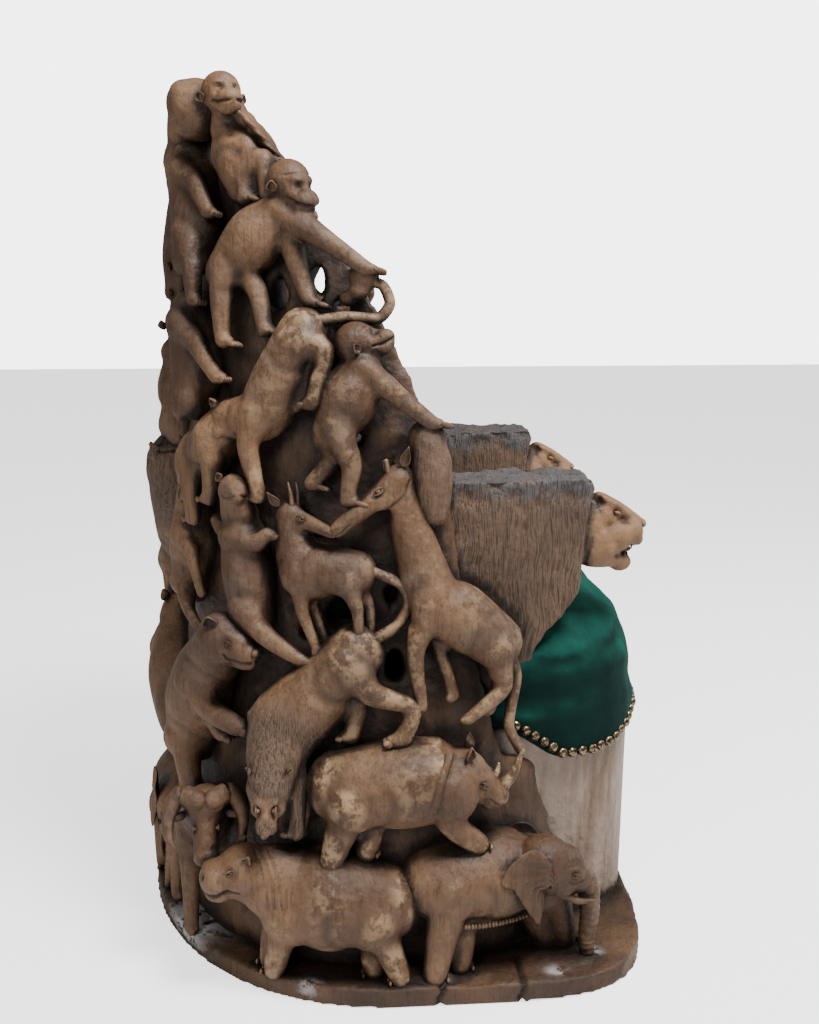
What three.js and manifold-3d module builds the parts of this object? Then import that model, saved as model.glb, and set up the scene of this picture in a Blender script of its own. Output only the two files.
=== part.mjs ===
// A throne carved from one tree trunk: a base slab, a log seat, a hollow back that rises in a
// slope and two lion arms, with beasts in high relief climbing all round it. A velvet cushion
// with a row of domed nails covers the seat. Millimetres, +Z up, the throne faces -Y and its
// origin is at the bottom centre.
import * as THREE from 'three';
import { mergeVertices } from 'three/addons/utils/BufferGeometryUtils.js';
import Module from 'manifold-3d';

const wasm = await Module();
wasm.setup();

// ---- driving dimensions ----
const GAP = 0.3;
const ROUND_END = 0.55;
const STRAIGHT_NECK = 68;
// How far a beast's limbs stand out from the trunk's skin, and how deep they are set near the rear.
const OUT = {
  body: 8, standing: -10, neck: 10, head: 14, turn: 8, trunk: 18, tail: 16, horn: 34, ear: 44,
  nearLeg: [24, 34, 32, 32], farLeg: [6, 8, 10, 10], splay: [0, 0, 4, 4],
};
const SHALLOW = { from: 340, to: 480, depth: 26, rear: 18 };
const DETAIL = {
  near: { body: 6, head: 5, legs: 2, trim: true },
  plain: { body: 5, head: 5, legs: 1, trim: false },
};
const CENTRE_Y = -20;
const TO_CENTRE = 21;
const SLAB = { top: 34, halfWidth: 560, toFront: 448, toRear: 458, frontRoundness: 5.2, rearRoundness: 2.1 };
const TRUNK = {
  roundness: 2.3,
  coreInset: 20,
  hollowInset: 88,
  heights: [0, 150, 350, 600, 900, 1200, 1450, 1600],
  halfWidths: [500, 490, 455, 420, 380, 320, 240, 180],
  halfDepths: [420, 414, 406, 398, 384, 368, 344, 330],
  top: 1475,
};
const LOG = { top: 400, halfWidth: 376, front: 456, lean: 3, toRear: 150, roundness: 4 };
const CUSHION = {
  hem: 340, hemRise: 44, hemClimb: 100, climbFrom: -345, climbLength: 131,
  levels: [340, 490, 545, 604], insets: [0, 0, 24, 110], front: 462, toRear: 205,
  lobeHalfWidth: 394, waistHalfWidth: 338, waistFrom: -240, waistTo: -190, roundness: 4.2, sides: 32,
};
const NAIL = { count: 58, radius: 9, height: 6, sides: 5, aboveHem: 14, from: -0.19, to: -2.95 };
const SLOPE = { foot: -205, seat: [-150, 560], arm: [-110, 830], middle: [-20, 1180], rear: 290, steps: 3 };
const ARM = { x: 300, halfWidth: 66, top: 838, front: 352, rear: 40, tip: 430 };

// ---- numbers along a table ----
function along(value, stops, amounts) {
  let i = 1;
  while (i < stops.length - 1 && value > stops[i]) i += 1;
  const share = (value - stops[i - 1]) / (stops[i] - stops[i - 1]);
  return THREE.MathUtils.lerp(amounts[i - 1], amounts[i], THREE.MathUtils.clamp(share, 0, 1));
}

// ---- a rounded oblong in plan: turn 0 is the side's middle on -X and a quarter turn is the rear ----
function oblong(turn, halfWidth, toFront, toRear, roundness) {
  const across = Math.cos(turn);
  const back = Math.sin(turn);
  const power = 2 / roundness;
  const depth = back < 0 ? toFront : toRear;
  return [
    -halfWidth * Math.sign(across) * Math.abs(across) ** power,
    CENTRE_Y + depth * Math.sign(back) * Math.abs(back) ** power,
  ];
}

function trunkPlan(turn, z, inset) {
  const halfWidth = along(z, TRUNK.heights, TRUNK.halfWidths) - inset;
  const halfDepth = along(z, TRUNK.heights, TRUNK.halfDepths) - inset;
  return oblong(turn, halfWidth, halfDepth, halfDepth, TRUNK.roundness);
}

// A place on the trunk's carved skin: `reach` is measured round it from the middle of one side,
// positive to the front, `z` is the height and `out` the distance outwards.
function onTrunk(side, reach, z, out) {
  const step = -Math.sign(reach || 1) * 0.02;
  let turn = 0;
  let gone = 0;
  let here = trunkPlan(0, z, 0);
  let next = trunkPlan(step, z, 0);
  let length = Math.hypot(next[0] - here[0], next[1] - here[1]);
  while (gone + length < Math.abs(reach)) {
    gone += length;
    turn += step;
    here = next;
    next = trunkPlan(turn + step, z, 0);
    length = Math.hypot(next[0] - here[0], next[1] - here[1]);
  }
  const share = (Math.abs(reach) - gone) / length;
  const x = THREE.MathUtils.lerp(here[0], next[0], share);
  const y = THREE.MathUtils.lerp(here[1], next[1], share);
  const ahead = new THREE.Vector3(next[0] - here[0], next[1] - here[1], 0).multiplyScalar(Math.sign(step));
  const outward = new THREE.Vector3(-ahead.y, ahead.x, 0).normalize();
  const place = new THREE.Vector3(x, y, z).addScaledVector(outward, out);
  place.x *= -side;
  outward.x *= -side;
  return { place, outward };
}

// ---- closed solids ----
function solidOf(geometry) {
  const bare = geometry.clone();
  bare.deleteAttribute('normal');
  bare.deleteAttribute('uv');
  const merged = mergeVertices(bare, 1e-3);
  return new wasm.Manifold(new wasm.Mesh({
    numProp: 3,
    vertProperties: new Float32Array(merged.attributes.position.array),
    triVerts: new Uint32Array(merged.index.array),
  }));
}

function geometryOf(solid) {
  const mesh = solid.getMesh();
  const geometry = new THREE.BufferGeometry();
  geometry.setAttribute('position', new THREE.BufferAttribute(mesh.vertProperties, 3));
  geometry.setIndex(new THREE.BufferAttribute(mesh.triVerts, 1));
  return geometry;
}

// A limb is a cylinder bent along its joints, with a radius at each and rounded ends.
function limb(joints, sides) {
  const geometry = new THREE.CylinderGeometry(1, 1, 1, sides, joints.length - 1);
  const vertices = geometry.attributes.position;
  const frames = joints.map((joint, i) => {
    const before = joints[Math.max(i - 1, 0)].place;
    const after = joints[Math.min(i + 1, joints.length - 1)].place;
    const ahead = after.clone().sub(before).normalize();
    const flat = Math.abs(ahead.dot(joint.outward)) > 0.92;
    const guide = flat ? new THREE.Vector3(0, 0, 1) : joint.outward;
    const lift = guide.clone().addScaledVector(ahead, -guide.dot(ahead)).normalize();
    return { ...joint, ahead, lift, across: ahead.clone().cross(lift) };
  });
  for (let i = 0; i < vertices.count; i += 1) {
    const row = Math.round((0.5 - vertices.getY(i)) * (joints.length - 1));
    const frame = frames[row];
    const x = vertices.getX(i);
    const z = vertices.getZ(i);
    const place = frame.place.clone();
    place.addScaledVector(frame.lift, x * frame.radius);
    place.addScaledVector(frame.across, z * frame.radius);
    const bulge = (row === 0 ? -ROUND_END : ROUND_END) * frame.radius;
    if (Math.hypot(x, z) < 1e-6) place.addScaledVector(frame.ahead, bulge);
    vertices.setXYZ(i, place.x, place.y, place.z);
  }
  return solidOf(geometry);
}

// A loft is a cylinder whose every level follows a plan: `plan(turn, z)` gives [x, y], or
// [x, y, z] where the level isn't flat.
function loft(levels, sides, plan) {
  const geometry = new THREE.CylinderGeometry(1, 1, 1, sides, levels.length - 1);
  const vertices = geometry.attributes.position;
  for (let i = 0; i < vertices.count; i += 1) {
    const level = levels[Math.round((0.5 + vertices.getY(i)) * (levels.length - 1))];
    const [across, back] = [vertices.getX(i), vertices.getZ(i)];
    const middle = Math.hypot(across, back) < 1e-6;
    const [x, y, z] = middle ? [0, CENTRE_Y] : plan(Math.atan2(-back, -across), level);
    vertices.setXYZ(i, x, y, z ?? level);
  }
  return solidOf(geometry);
}

// ---- the beasts ----
// Radii of each kind: body at rump, belly and shoulder; top of the neck; head at poll, middle and
// nose; leg at hip, knee, ankle and foot.
const KINDS = {
  hippo: { body: [74, 88, 80], neck: 56, head: [52, 44, 40], leg: [34, 24, 20, 24] },
  elephant: { body: [68, 80, 72], neck: 48, head: [46, 36, 20], leg: [34, 26, 22, 26] },
  buffalo: { body: [55, 60, 55], neck: 42, head: [40, 32, 28], leg: [26, 17, 14, 17] },
  rhino: { body: [70, 75, 68], neck: 50, head: [48, 38, 30], leg: [34, 24, 20, 22] },
  lion: { body: [54, 60, 66], neck: 68, head: [34, 28, 20], leg: [34, 20, 15, 18] },
  bear: { body: [58, 64, 58], neck: 46, head: [44, 34, 24], leg: [32, 22, 19, 20] },
  cub: { body: [42, 44, 38], neck: 28, head: [32, 26, 17], leg: [26, 17, 13, 14] },
  buck: { body: [42, 46, 44], neck: 22, head: [23, 17, 10], leg: [20, 11, 9, 10] },
  giraffe: { body: [52, 55, 48], neck: 23, head: [26, 21, 13], leg: [28, 15, 11, 14] },
  ape: { body: [42, 50, 36], neck: 24, head: [38, 33, 23], leg: [24, 17, 14, 12] },
  cat: { body: [47, 46, 46], neck: 36, head: [36, 30, 22], leg: [28, 18, 14, 16] },
};
const EARS = { bear: [12, 16], buck: [8, 30], giraffe: [8, 26], ape: [11, 12] };

// Each beast: where its body's middle is (reach, height), the body's length and lean, which way it
// faces (1 front, -1 rear), then [angle, length] pairs from joint to joint. An angle of 0 is
// straight ahead of the beast and 90 is up. The near leg comes before the far one.
const HERD = [
  { kind: 'hippo', at: [-108, 153], long: 110, lean: 4, face: -1, neck: [-6, 75], head: [-8, 90],
    fore: [[-70, 72, -78, 50], [-55, 80, -80, 45]], hind: [[-119, 63, -109, 64], [-95, 60, -95, 60]],
    stands: true },
  { kind: 'elephant', at: [156, 172], long: 145, lean: -2, face: 1, neck: [8, 92], head: [-28, 60],
    fore: [[-58, 74, -74, 62], [-80, 80, -70, 50]], hind: [[-106, 73, -101, 58], [-75, 70, -95, 60]],
    trunk: [[-72, 55], [-84, 60], [-80, 25]], stands: true },
  { kind: 'buffalo', at: [-462, 212], long: 100, lean: 4, face: 1, neck: [38, 62], head: [-72, 82],
    turn: 34, fore: [[-80, 90, -86, 86]],
    hind: [[-88, 85, -88, 80]], stands: true,
    nearOnly: true },
  { kind: 'rhino', at: [5, 349], long: 140, lean: 3, face: 1, neck: [18, 58], head: [-33, 106],
    fore: [[-85, 62, -45, 60]], hind: [[-111, 85, -105, 50], [-70, 60, -100, 50]],
    tail: [[-150, 30], [-100, 60]] },
  { kind: 'lion', at: [-135, 490], long: 160, lean: -47, face: -1, neck: [-67, 60], head: [-102, 62],
    fore: [[-113, 76, -91, 90], [-94, 80, -90, 85]],
    hind: [[-132, 60, -159, 68, -72, 54], [-105, 65, -80, 60]],
    tail: [[150, 60], [120, 40], [70, 35], [25, 60]] },
  { kind: 'bear', at: [-385, 440], long: 139, lean: 60, face: 1, neck: [51, 71], head: [-15, 112],
    fore: [[-59, 58, -19, 61], [-85, 60, -50, 50]], hind: [[-68, 60, -60, 66]] },
  { kind: 'cub', at: [-250, 685], long: 120, lean: 97, face: 1, neck: [94, 46], head: [-60, 40], turn: 25,
    fore: [[-5, 42, 40, 20], [175, 42, 140, 20]], hind: [[-43, 54, -32, 66]], nearOnly: true },
  { kind: 'buck', at: [-116, 695], long: 70, lean: 3, face: -1, neck: [77, 88], head: [-166, 88],
    fore: [[-96, 63, -109, 69], [-105, 60, -110, 60]], hind: [[-110, 55, -92, 50], [-125, 60, -95, 50]],
    nearOnly: true },
  { kind: 'giraffe', at: [102, 618], long: 121, lean: 38, face: -1, neck: [75, 190], head: [-34, 126],
    fore: [[-72, 89, -96, 90], [-95, 55, -106, 118]], hind: [[-101, 81, -39, 71], [-110, 70, -70, 60]],
    tail: [[-110, 50], [-80, 80], [-115, 55]] },
  { kind: 'ape', at: [-70, 975], long: 98, lean: 66, face: 1, neck: [60, 40], head: [13, 46],
    fore: [[-38, 61, -40, 75]], hind: [[-70, 66, -97, 56], [-100, 58, -131, 53]],
    nearOnly: true },
  { kind: 'cat', at: [-183, 1002], long: 132, lean: -61, face: -1, neck: [-15, 57], head: [-56, 75],
    fore: [[-75, 52, -101, 82]],
    hind: [[-165, 46, -78, 85], [-110, 60, -60, 50]],
    tail: [[172, 60], [182, 50], [130, 30], [70, 30], [20, 25]] },
  { kind: 'ape', at: [-222, 1225], long: 130, lean: 44, face: 1, neck: [45, 45], head: [-18, 50],
    fore: [[-34, 85, -37, 78], [-75, 90, -72, 65]], hind: [[-95, 60, -88, 60], [-40, 60, -77, 66]] },
  { kind: 'ape', at: [-250, 1362], long: 78, lean: 106, face: 1, neck: [95, 50], head: [-25, 26], turn: 22,
    fore: [[-30, 50, -95, 65], [0, 70, -30, 50]], hind: [[30, 50, -85, 60]],
    nearOnly: true },
  { kind: 'cat', at: [-395, 1400], long: 74, lean: 60, face: 1, neck: [60, 40], head: [10, 50],
    fore: [], hind: [[-85, 60, -92, 60]], nearOnly: true },
  { kind: 'cat', at: [-365, 1285], long: 110, lean: -75, face: 1, neck: [-60, 40], head: [-50, 50],
    fore: [[-75, 60, -90, 50]], hind: [[-20, 55, -60, 60]], nearOnly: true },
  { kind: 'cat', at: [-375, 1040], long: 90, lean: -80, face: 1, neck: [-60, 40], head: [-50, 50],
    fore: [], hind: [[-30, 60, -50, 70]], nearOnly: true },
  { kind: 'buck', at: [-410, 690], long: 90, lean: 75, face: 1, neck: [80, 120], head: [-55, 80], turn: 20,
    fore: [[-40, 60, -70, 60]], hind: [[-40, 70, -35, 70]], nearOnly: true },
  { kind: 'cat', at: [-330, 880], long: 60, lean: -40, face: -1, neck: [-60, 36], head: [-80, 50],
    fore: [[-95, 50, -90, 50]], hind: [[-100, 50, -80, 50]], nearOnly: true },
];

// The rear is plainer: fewer beasts, measured from the middle of the back.
const REAR_HERD = [
  { kind: 'elephant', at: [-30, 168], long: 150, lean: 0, face: 1, neck: [10, 86], head: [-30, 58],
    fore: [[-75, 74, -90, 62]], hind: [[-98, 73, -92, 58]], trunk: [[-76, 55], [-88, 60]], stands: true },
  { kind: 'bear', at: [40, 420], long: 150, lean: 35, face: -1, neck: [40, 66], head: [-8, 100],
    fore: [[-60, 60, -70, 60]], hind: [] },
  { kind: 'lion', at: [-30, 690], long: 160, lean: 62, face: 1, neck: [70, 56], head: [40, 60],
    fore: [], hind: [[-75, 66, -100, 66]] },
  { kind: 'ape', at: [40, 960], long: 130, lean: 76, face: -1, neck: [80, 46], head: [-20, 50],
    fore: [[-20, 70, 40, 66]], hind: [[-40, 62, -100, 62]] },
  { kind: 'cat', at: [-10, 1260], long: 150, lean: -66, face: 1, neck: [-60, 50], head: [-50, 66],
    fore: [], hind: [[20, 50, -60, 66]] },
];

function walk(from, pairs) {
  const joints = [from];
  for (let i = 0; i < pairs.length; i += 2) {
    const [x, y] = joints[joints.length - 1];
    const angle = THREE.MathUtils.degToRad(pairs[i]);
    joints.push([x + Math.cos(angle) * pairs[i + 1], y + Math.sin(angle) * pairs[i + 1]]);
  }
  return joints;
}

function quarterReach(z) {
  let length = 0;
  let last = trunkPlan(0, z, 0);
  for (let turn = 0.02; turn <= Math.PI / 2; turn += 0.02) {
    const next = trunkPlan(turn, z, 0);
    length += Math.hypot(next[0] - last[0], next[1] - last[1]);
    last = next;
  }
  return length;
}

// `side` is -1 or 1 for the two flanks and 0 for the rear. The first limb is the spine, and the
// head is one of its own only where the neck bends too sharply to run on into it.
function beast(row, side, detail) {
  const kind = KINDS[row.kind];
  const [rump, shoulder] = [-0.5, 0.5].map((share) => walk([0, 0], [row.lean, row.long * share])[1]);
  const poll = walk(shoulder, row.neck)[1];
  const middle = walk(poll, [row.head[0], row.head[1] / 2])[1];
  const nose = walk(poll, row.head)[1];
  const turn = row.turn ?? OUT.turn;

  function joint(point, radius, out) {
    const z = row.at[1] + point[1];
    const reach = row.at[0] + row.face * point[0];
    const round = side === 0 ? reach - quarterReach(z) : reach;
    const sunk = THREE.MathUtils.smoothstep(Math.abs(round), SHALLOW.from, SHALLOW.to) * SHALLOW.depth;
    const sink = side === 0 ? SHALLOW.rear : sunk;
    return { ...onTrunk(side === 0 ? -1 : side, round, z, out - sink), radius };
  }

  const haunch = walk(rump, [row.lean + 180, kind.body[0] * 0.35])[1];
  const bulge = row.stands ? OUT.standing : OUT.body;
  const spine = [
    joint(haunch, kind.body[0] * 0.9, bulge), joint([0, 0], kind.body[1], bulge),
    joint(shoulder, kind.body[2], bulge),
  ];
  const face = [
    joint(middle, kind.head[1], OUT.head + turn / 2),
    joint(nose, kind.head[2], OUT.head + turn),
  ];
  const crown = joint(poll, kind.head[0], OUT.head);
  const parts = [];
  if (Math.abs(row.neck[0] - row.head[0]) < STRAIGHT_NECK) {
    parts.push(limb([...spine, crown, ...face], detail.body));
  } else {
    parts.push(limb([...spine, joint(poll, kind.neck, OUT.neck)], detail.body));
    parts.push(limb([crown, ...face], detail.head));
  }
  for (const [root, legs] of [[shoulder, row.fore], [rump, row.hind]]) {
    legs.slice(0, detail.legs).forEach((pairs, far) => {
      const outs = far ? OUT.farLeg : OUT.nearLeg;
      parts.push(limb(walk(root, pairs).map((point, i) => {
        const rise = row.stands && i > 1 ? SLAB.top + 6 - row.at[1] : point[1];
        return joint([point[0], rise], kind.leg[i], outs[i] + (row.stands ? OUT.splay[i] : 0));
      }), 3));
    });
  }
  if (row.tail && detail.trim) {
    const start = walk(rump, [row.lean + 180, kind.body[0] * 0.75])[1];
    parts.push(limb(walk(start, row.tail.flat()).map((point) => joint(point, 8, OUT.tail)), 3));
  }
  if (row.trunk) {
    parts.push(limb(walk(nose, row.trunk.flat()).map((point) => joint(point, 17, OUT.trunk)), 4));
  }
  if (EARS[row.kind] && detail.trim) {
    const [thick, long] = EARS[row.kind];
    const root = walk(poll, [row.head[0] + 100, kind.head[0] * 0.6])[1];
    const tip = walk(root, [row.head[0] + 128, long + kind.head[0] * 0.35])[1];
    parts.push(limb([joint(root, thick, OUT.horn), joint(tip, thick * 0.4, OUT.ear)], 4));
  }
  if (row.kind === 'rhino') {
    for (const [share, long] of [[0.98, 84], [0.66, 62]]) {
      const root = walk(poll, [row.head[0], row.head[1] * share])[1];
      const tip = walk(root, [row.head[0] + 122, long])[1];
      parts.push(limb([joint(root, 16, 22), joint(tip, 4, 24)], 4));
    }
  }
  if (row.kind === 'buffalo') {
    for (const ahead of [1, -1]) {
      const horn = [[10, 22], [62, 12], [88, -22], [62, -50]];
      parts.push(limb(horn.map(([x, y], i) => (
        joint([poll[0] + ahead * x, poll[1] + y], 17 - i * 4, OUT.horn))), 4));
    }
  }
  if (row.kind === 'elephant') {
    const ear = [[-58, 26, 30], [-46, -14, 40], [-34, -52, 16]];
    parts.push(limb(ear.map(([x, y, r]) => joint([poll[0] + x, poll[1] + y], r, OUT.ear)), 5));
  }
  return wasm.Manifold.union(parts);
}

// A side view of [forward, height] points given a width across X, centred on the middle.
function sideways(outline, width, curveSegments) {
  const block = new THREE.ExtrudeGeometry(outline, { depth: width, curveSegments, bevelEnabled: false });
  block.applyMatrix4(new THREE.Matrix4().makeBasis(
    new THREE.Vector3(0, 1, 0), new THREE.Vector3(0, 0, 1), new THREE.Vector3(1, 0, 0)));
  return solidOf(block.translate(-width / 2, 0, 0));
}

// ---- the trunk ----
function trunkCore() {
  const levels = [0, 600, 1200, TRUNK.top];
  const body = loft(levels, 20, (turn, z) => trunkPlan(turn, z, TRUNK.coreInset));
  const hollow = loft([CUSHION.hem, 900, TRUNK.top + 80], 14,
    (turn, z) => trunkPlan(turn, z, TRUNK.hollowInset));
  const slope = new THREE.Shape();
  const clear = 2 * TRUNK.halfWidths[0];
  slope.moveTo(-clear, CUSHION.hem);
  slope.lineTo(SLOPE.foot, CUSHION.hem);
  slope.lineTo(...SLOPE.seat);
  slope.lineTo(...SLOPE.arm);
  slope.quadraticCurveTo(...SLOPE.middle, SLOPE.rear, TRUNK.top);
  slope.lineTo(SLOPE.rear, TRUNK.top + 100);
  slope.lineTo(-clear, TRUNK.top + 100);
  return body.subtract(hollow).subtract(sideways(slope, 2 * clear, SLOPE.steps));
}

function logSeat() {
  return loft([0, LOG.top], 20, (turn, z) => {
    const share = z / LOG.top;
    const front = LOG.front - LOG.lean * (1 - share);
    return oblong(turn, LOG.halfWidth - 12 * (1 - share), front, LOG.toRear, LOG.roundness);
  });
}

function baseSlab() {
  return loft([0, SLAB.top], 28, (turn) => oblong(
    turn, SLAB.halfWidth, SLAB.toFront, SLAB.toRear,
    Math.sin(turn) < 0 ? SLAB.frontRoundness : SLAB.rearRoundness));
}

// ---- the lion arms ----
function lionArm(side) {
  const outline = new THREE.Shape();
  outline.moveTo(ARM.rear, ARM.top - 8);
  outline.lineTo(-ARM.front, ARM.top);
  outline.lineTo(-ARM.front - 6, ARM.top - 22);
  outline.quadraticCurveTo(-ARM.front + 4, 660, -300, 560);
  outline.quadraticCurveTo(-262, 470, -222, ARM.tip);
  outline.quadraticCurveTo(-180, 500, -90, 560);
  outline.lineTo(ARM.rear, 600);
  const block = sideways(outline, 2 * ARM.halfWidth, 2).translate([side * ARM.x, 0, 0]);
  const outward = new THREE.Vector3(side, 0, 0);
  const joint = (y, z, radius) => ({ place: new THREE.Vector3(side * ARM.x, y, z), outward, radius });
  const skull = limb([
    joint(-305, 736, 60), joint(-378, 752, 50), joint(-424, 738, 37), joint(-446, 728, 27),
  ], 6);
  const jaw = limb([joint(-340, 698, 40), joint(-392, 684, 29), joint(-424, 678, 20)], 5);
  return wasm.Manifold.union([block, skull, jaw]);
}

function stump(side) {
  return limb([
    { ...onTrunk(side, 58, 790, 6), radius: 30 },
    { ...onTrunk(side, 58, 850, 10), radius: 36 },
    { ...onTrunk(side, 52, 908, 6), radius: 32 },
  ], 7);
}

// ---- the cushion ----
function cushionPlan(turn, inset) {
  const [front, rear] = [CUSHION.front - inset, CUSHION.toRear - inset];
  const [, y] = oblong(turn, 1, front, rear, CUSHION.roundness);
  const waist = THREE.MathUtils.smoothstep(y, CUSHION.waistFrom, CUSHION.waistTo);
  const halfWidth = THREE.MathUtils.lerp(CUSHION.lobeHalfWidth, CUSHION.waistHalfWidth, waist) - inset;
  return oblong(turn, halfWidth, front, rear, CUSHION.roundness);
}

// The velvet's lower edge hangs lowest at the two front corners.
function hemHeight(x, y) {
  const rise = THREE.MathUtils.smoothstep(-Math.abs(x), -370, -240) * CUSHION.hemRise;
  const share = THREE.MathUtils.clamp((y - CUSHION.climbFrom) / CUSHION.climbLength, 0, 1);
  return CUSHION.hem + (y < CUSHION.climbFrom ? rise : CUSHION.hemClimb * share ** 4);
}

function cushionSolid(grow) {
  const { levels, insets } = CUSHION;
  return loft(levels, CUSHION.sides, (turn, level) => {
    const [x, y] = cushionPlan(turn, insets[levels.indexOf(level)] - grow);
    if (level === CUSHION.hem) return [x, y, hemHeight(x, y) - grow];
    return [x, y, level + grow];
  });
}

// ---- the nails ----
function nailGeometry() {
  const dome = new THREE.ConeGeometry(NAIL.radius, NAIL.height, NAIL.sides);
  return dome.translate(0, NAIL.height / 2 + GAP, 0);
}

// The place on the cushion's flat facets at a turn: [x, y, z of the hem] and the way it faces.
function cushionFace(turn) {
  const step = (2 * Math.PI) / CUSHION.sides;
  const share = (turn + Math.PI / 2) / step;
  const corner = Math.floor(share);
  const [start, end] = [corner, corner + 1].map((k) => {
    const [x, y] = cushionPlan(k * step - Math.PI / 2, 0);
    return new THREE.Vector3(x, y, hemHeight(x, y));
  });
  const outward = new THREE.Vector3(start.y - end.y, end.x - start.x, 0).normalize();
  return { place: start.lerp(end, share - corner), outward };
}

// Places evenly spaced along the edge of the cushion's front lobe.
function nailFaces() {
  const steps = 1200;
  const faces = Array.from({ length: steps + 1 }, (_, i) => (
    cushionFace(THREE.MathUtils.lerp(NAIL.from, NAIL.to, i / steps))));
  const reached = [0];
  for (let i = 1; i <= steps; i += 1) {
    reached.push(reached[i - 1] + faces[i].place.distanceTo(faces[i - 1].place));
  }
  return Array.from({ length: NAIL.count }, (_, k) => {
    const wanted = (reached[steps] * k) / (NAIL.count - 1);
    return faces[reached.findIndex((length) => length >= wanted - 1e-6)];
  });
}

// ---- assembly ----
const material = {
  wood: new THREE.MeshStandardMaterial({ color: 0x7a6250, roughness: 0.7, metalness: 0 }),
  velvet: new THREE.MeshStandardMaterial({ color: 0x0e3f38, roughness: 0.95, metalness: 0 }),
  brass: new THREE.MeshStandardMaterial({ color: 0x7d6a42, roughness: 0.35, metalness: 0.9 }),
};
const throne = new THREE.Group();
throne.position.y = TO_CENTRE;

function piece(name, geometry, looks) {
  const mesh = new THREE.Mesh(geometry, looks);
  mesh.name = name;
  throne.add(mesh);
  return mesh;
}

const carving = [trunkCore(), logSeat(), baseSlab(), lionArm(-1), lionArm(1), stump(-1), stump(1)];
for (const row of HERD) {
  carving.push(beast(row, -1, DETAIL.near));
  if (!row.nearOnly) carving.push(beast(row, 1, DETAIL.plain));
}
for (const row of REAR_HERD) carving.push(beast(row, 0, DETAIL.plain));
const floor = solidOf(new THREE.BoxGeometry(3000, 3000, 200).translate(0, 0, -100));
const carved = wasm.Manifold.union(carving).subtract(floor).subtract(cushionSolid(GAP));
piece('carved_throne', geometryOf(carved), material.wood);
piece('seat_cushion', geometryOf(cushionSolid(0)), material.velvet);
nailFaces().forEach(({ place, outward }, i) => {
  const nail = piece(`brass_nail_${String(i + 1).padStart(2, '0')}`, nailGeometry(), material.brass);
  nail.position.set(place.x, place.y, place.z + NAIL.aboveHem);
  nail.quaternion.setFromUnitVectors(new THREE.Vector3(0, 1, 0), outward);
});

export default throne;
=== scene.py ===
"""A throne carved from one tree trunk, with beasts climbing all round it and a velvet seat."""
import math

import bmesh
import bpy
import numpy as np
from mathutils import Matrix, Vector, noise


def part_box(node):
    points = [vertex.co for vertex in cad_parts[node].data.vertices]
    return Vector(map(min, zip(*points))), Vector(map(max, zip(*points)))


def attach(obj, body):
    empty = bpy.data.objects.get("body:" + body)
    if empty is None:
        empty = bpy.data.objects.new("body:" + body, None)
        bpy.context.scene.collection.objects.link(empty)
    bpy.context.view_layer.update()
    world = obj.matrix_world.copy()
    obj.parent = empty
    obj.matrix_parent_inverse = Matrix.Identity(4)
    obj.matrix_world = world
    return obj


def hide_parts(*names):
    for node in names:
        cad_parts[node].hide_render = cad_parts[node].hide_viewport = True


MM = 0.001
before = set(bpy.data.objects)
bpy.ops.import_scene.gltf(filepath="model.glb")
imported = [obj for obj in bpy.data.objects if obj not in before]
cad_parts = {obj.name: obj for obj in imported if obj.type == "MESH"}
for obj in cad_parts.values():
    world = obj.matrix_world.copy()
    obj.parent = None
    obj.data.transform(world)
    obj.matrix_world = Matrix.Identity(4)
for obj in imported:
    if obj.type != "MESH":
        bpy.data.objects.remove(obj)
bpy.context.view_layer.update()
cushion_low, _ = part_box("seat_cushion")

# ---- the trunk: its plan at each height, in millimetres, as in the solid ----
HEIGHTS = [0, 150, 350, 600, 900, 1200, 1450, 1600]
HALF_WIDTHS = [500, 490, 455, 420, 380, 320, 240, 180]
HALF_DEPTHS = [420, 414, 406, 398, 384, 368, 344, 330]
TRUNK_ROUNDNESS = 2.3
CORE_INSET = 20
HOLLOW_INSET = 88
TRUNK_TOP = 1475
SLAB_TOP = 34
SHALLOW_FROM, SHALLOW_TO, SHALLOW_DEPTH = 340, 480, 26
REAR_SINK = 18
CUSHION_FRONT = 462
CENTRE_Y = cushion_low.y / MM + CUSHION_FRONT
ARM_X = 300
MID_Y = CENTRE_Y + 20
SLAB_HALF_WIDTH, SLAB_TO_FRONT, SLAB_TO_REAR = 560, 448, 458
SLAB_CORNERS_FRONT, SLAB_CORNERS_REAR = 5.2, 2.1
LOG_HALF_WIDTH, LOG_TO_FRONT, LOG_TO_REAR, LOG_TOP, LOG_ROUNDNESS = 376, 456, 150, 400, 4
# How fine each skin is, in millimetres.
NEAR_SKIN, FAR_SKIN, RIM_SKIN = 4.0, 5.5, 3.0
WALL_SKIN, SLAB_SKIN, LOG_SKIN, SEAT_SKIN = 7.0, 6.0, 8.0, 12.0
FLANKS = {-1: "right", 1: "left", 0: "rear"}


def smoothstep(value, low, high):
    share = np.clip((value - low) / (high - low), 0, 1)
    return share * share * (3 - 2 * share)


def oblong(turn, half_width, to_front, to_rear, roundness):
    """A rounded oblong in plan. Turn 0 is the middle of the side on -X and a quarter turn is the rear."""
    across, back = np.cos(turn), np.sin(turn)
    power = 2 / roundness
    depth = np.where(back < 0, to_front, to_rear)
    return (-half_width * np.sign(across) * np.abs(across) ** power,
            CENTRE_Y + depth * np.sign(back) * np.abs(back) ** power)


def trunk_plan(turn, z, inset=0.0):
    half_width = np.interp(z, HEIGHTS, HALF_WIDTHS) - inset
    half_depth = np.interp(z, HEIGHTS, HALF_DEPTHS) - inset
    return oblong(turn, half_width, half_depth, half_depth, TRUNK_ROUNDNESS)


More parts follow.
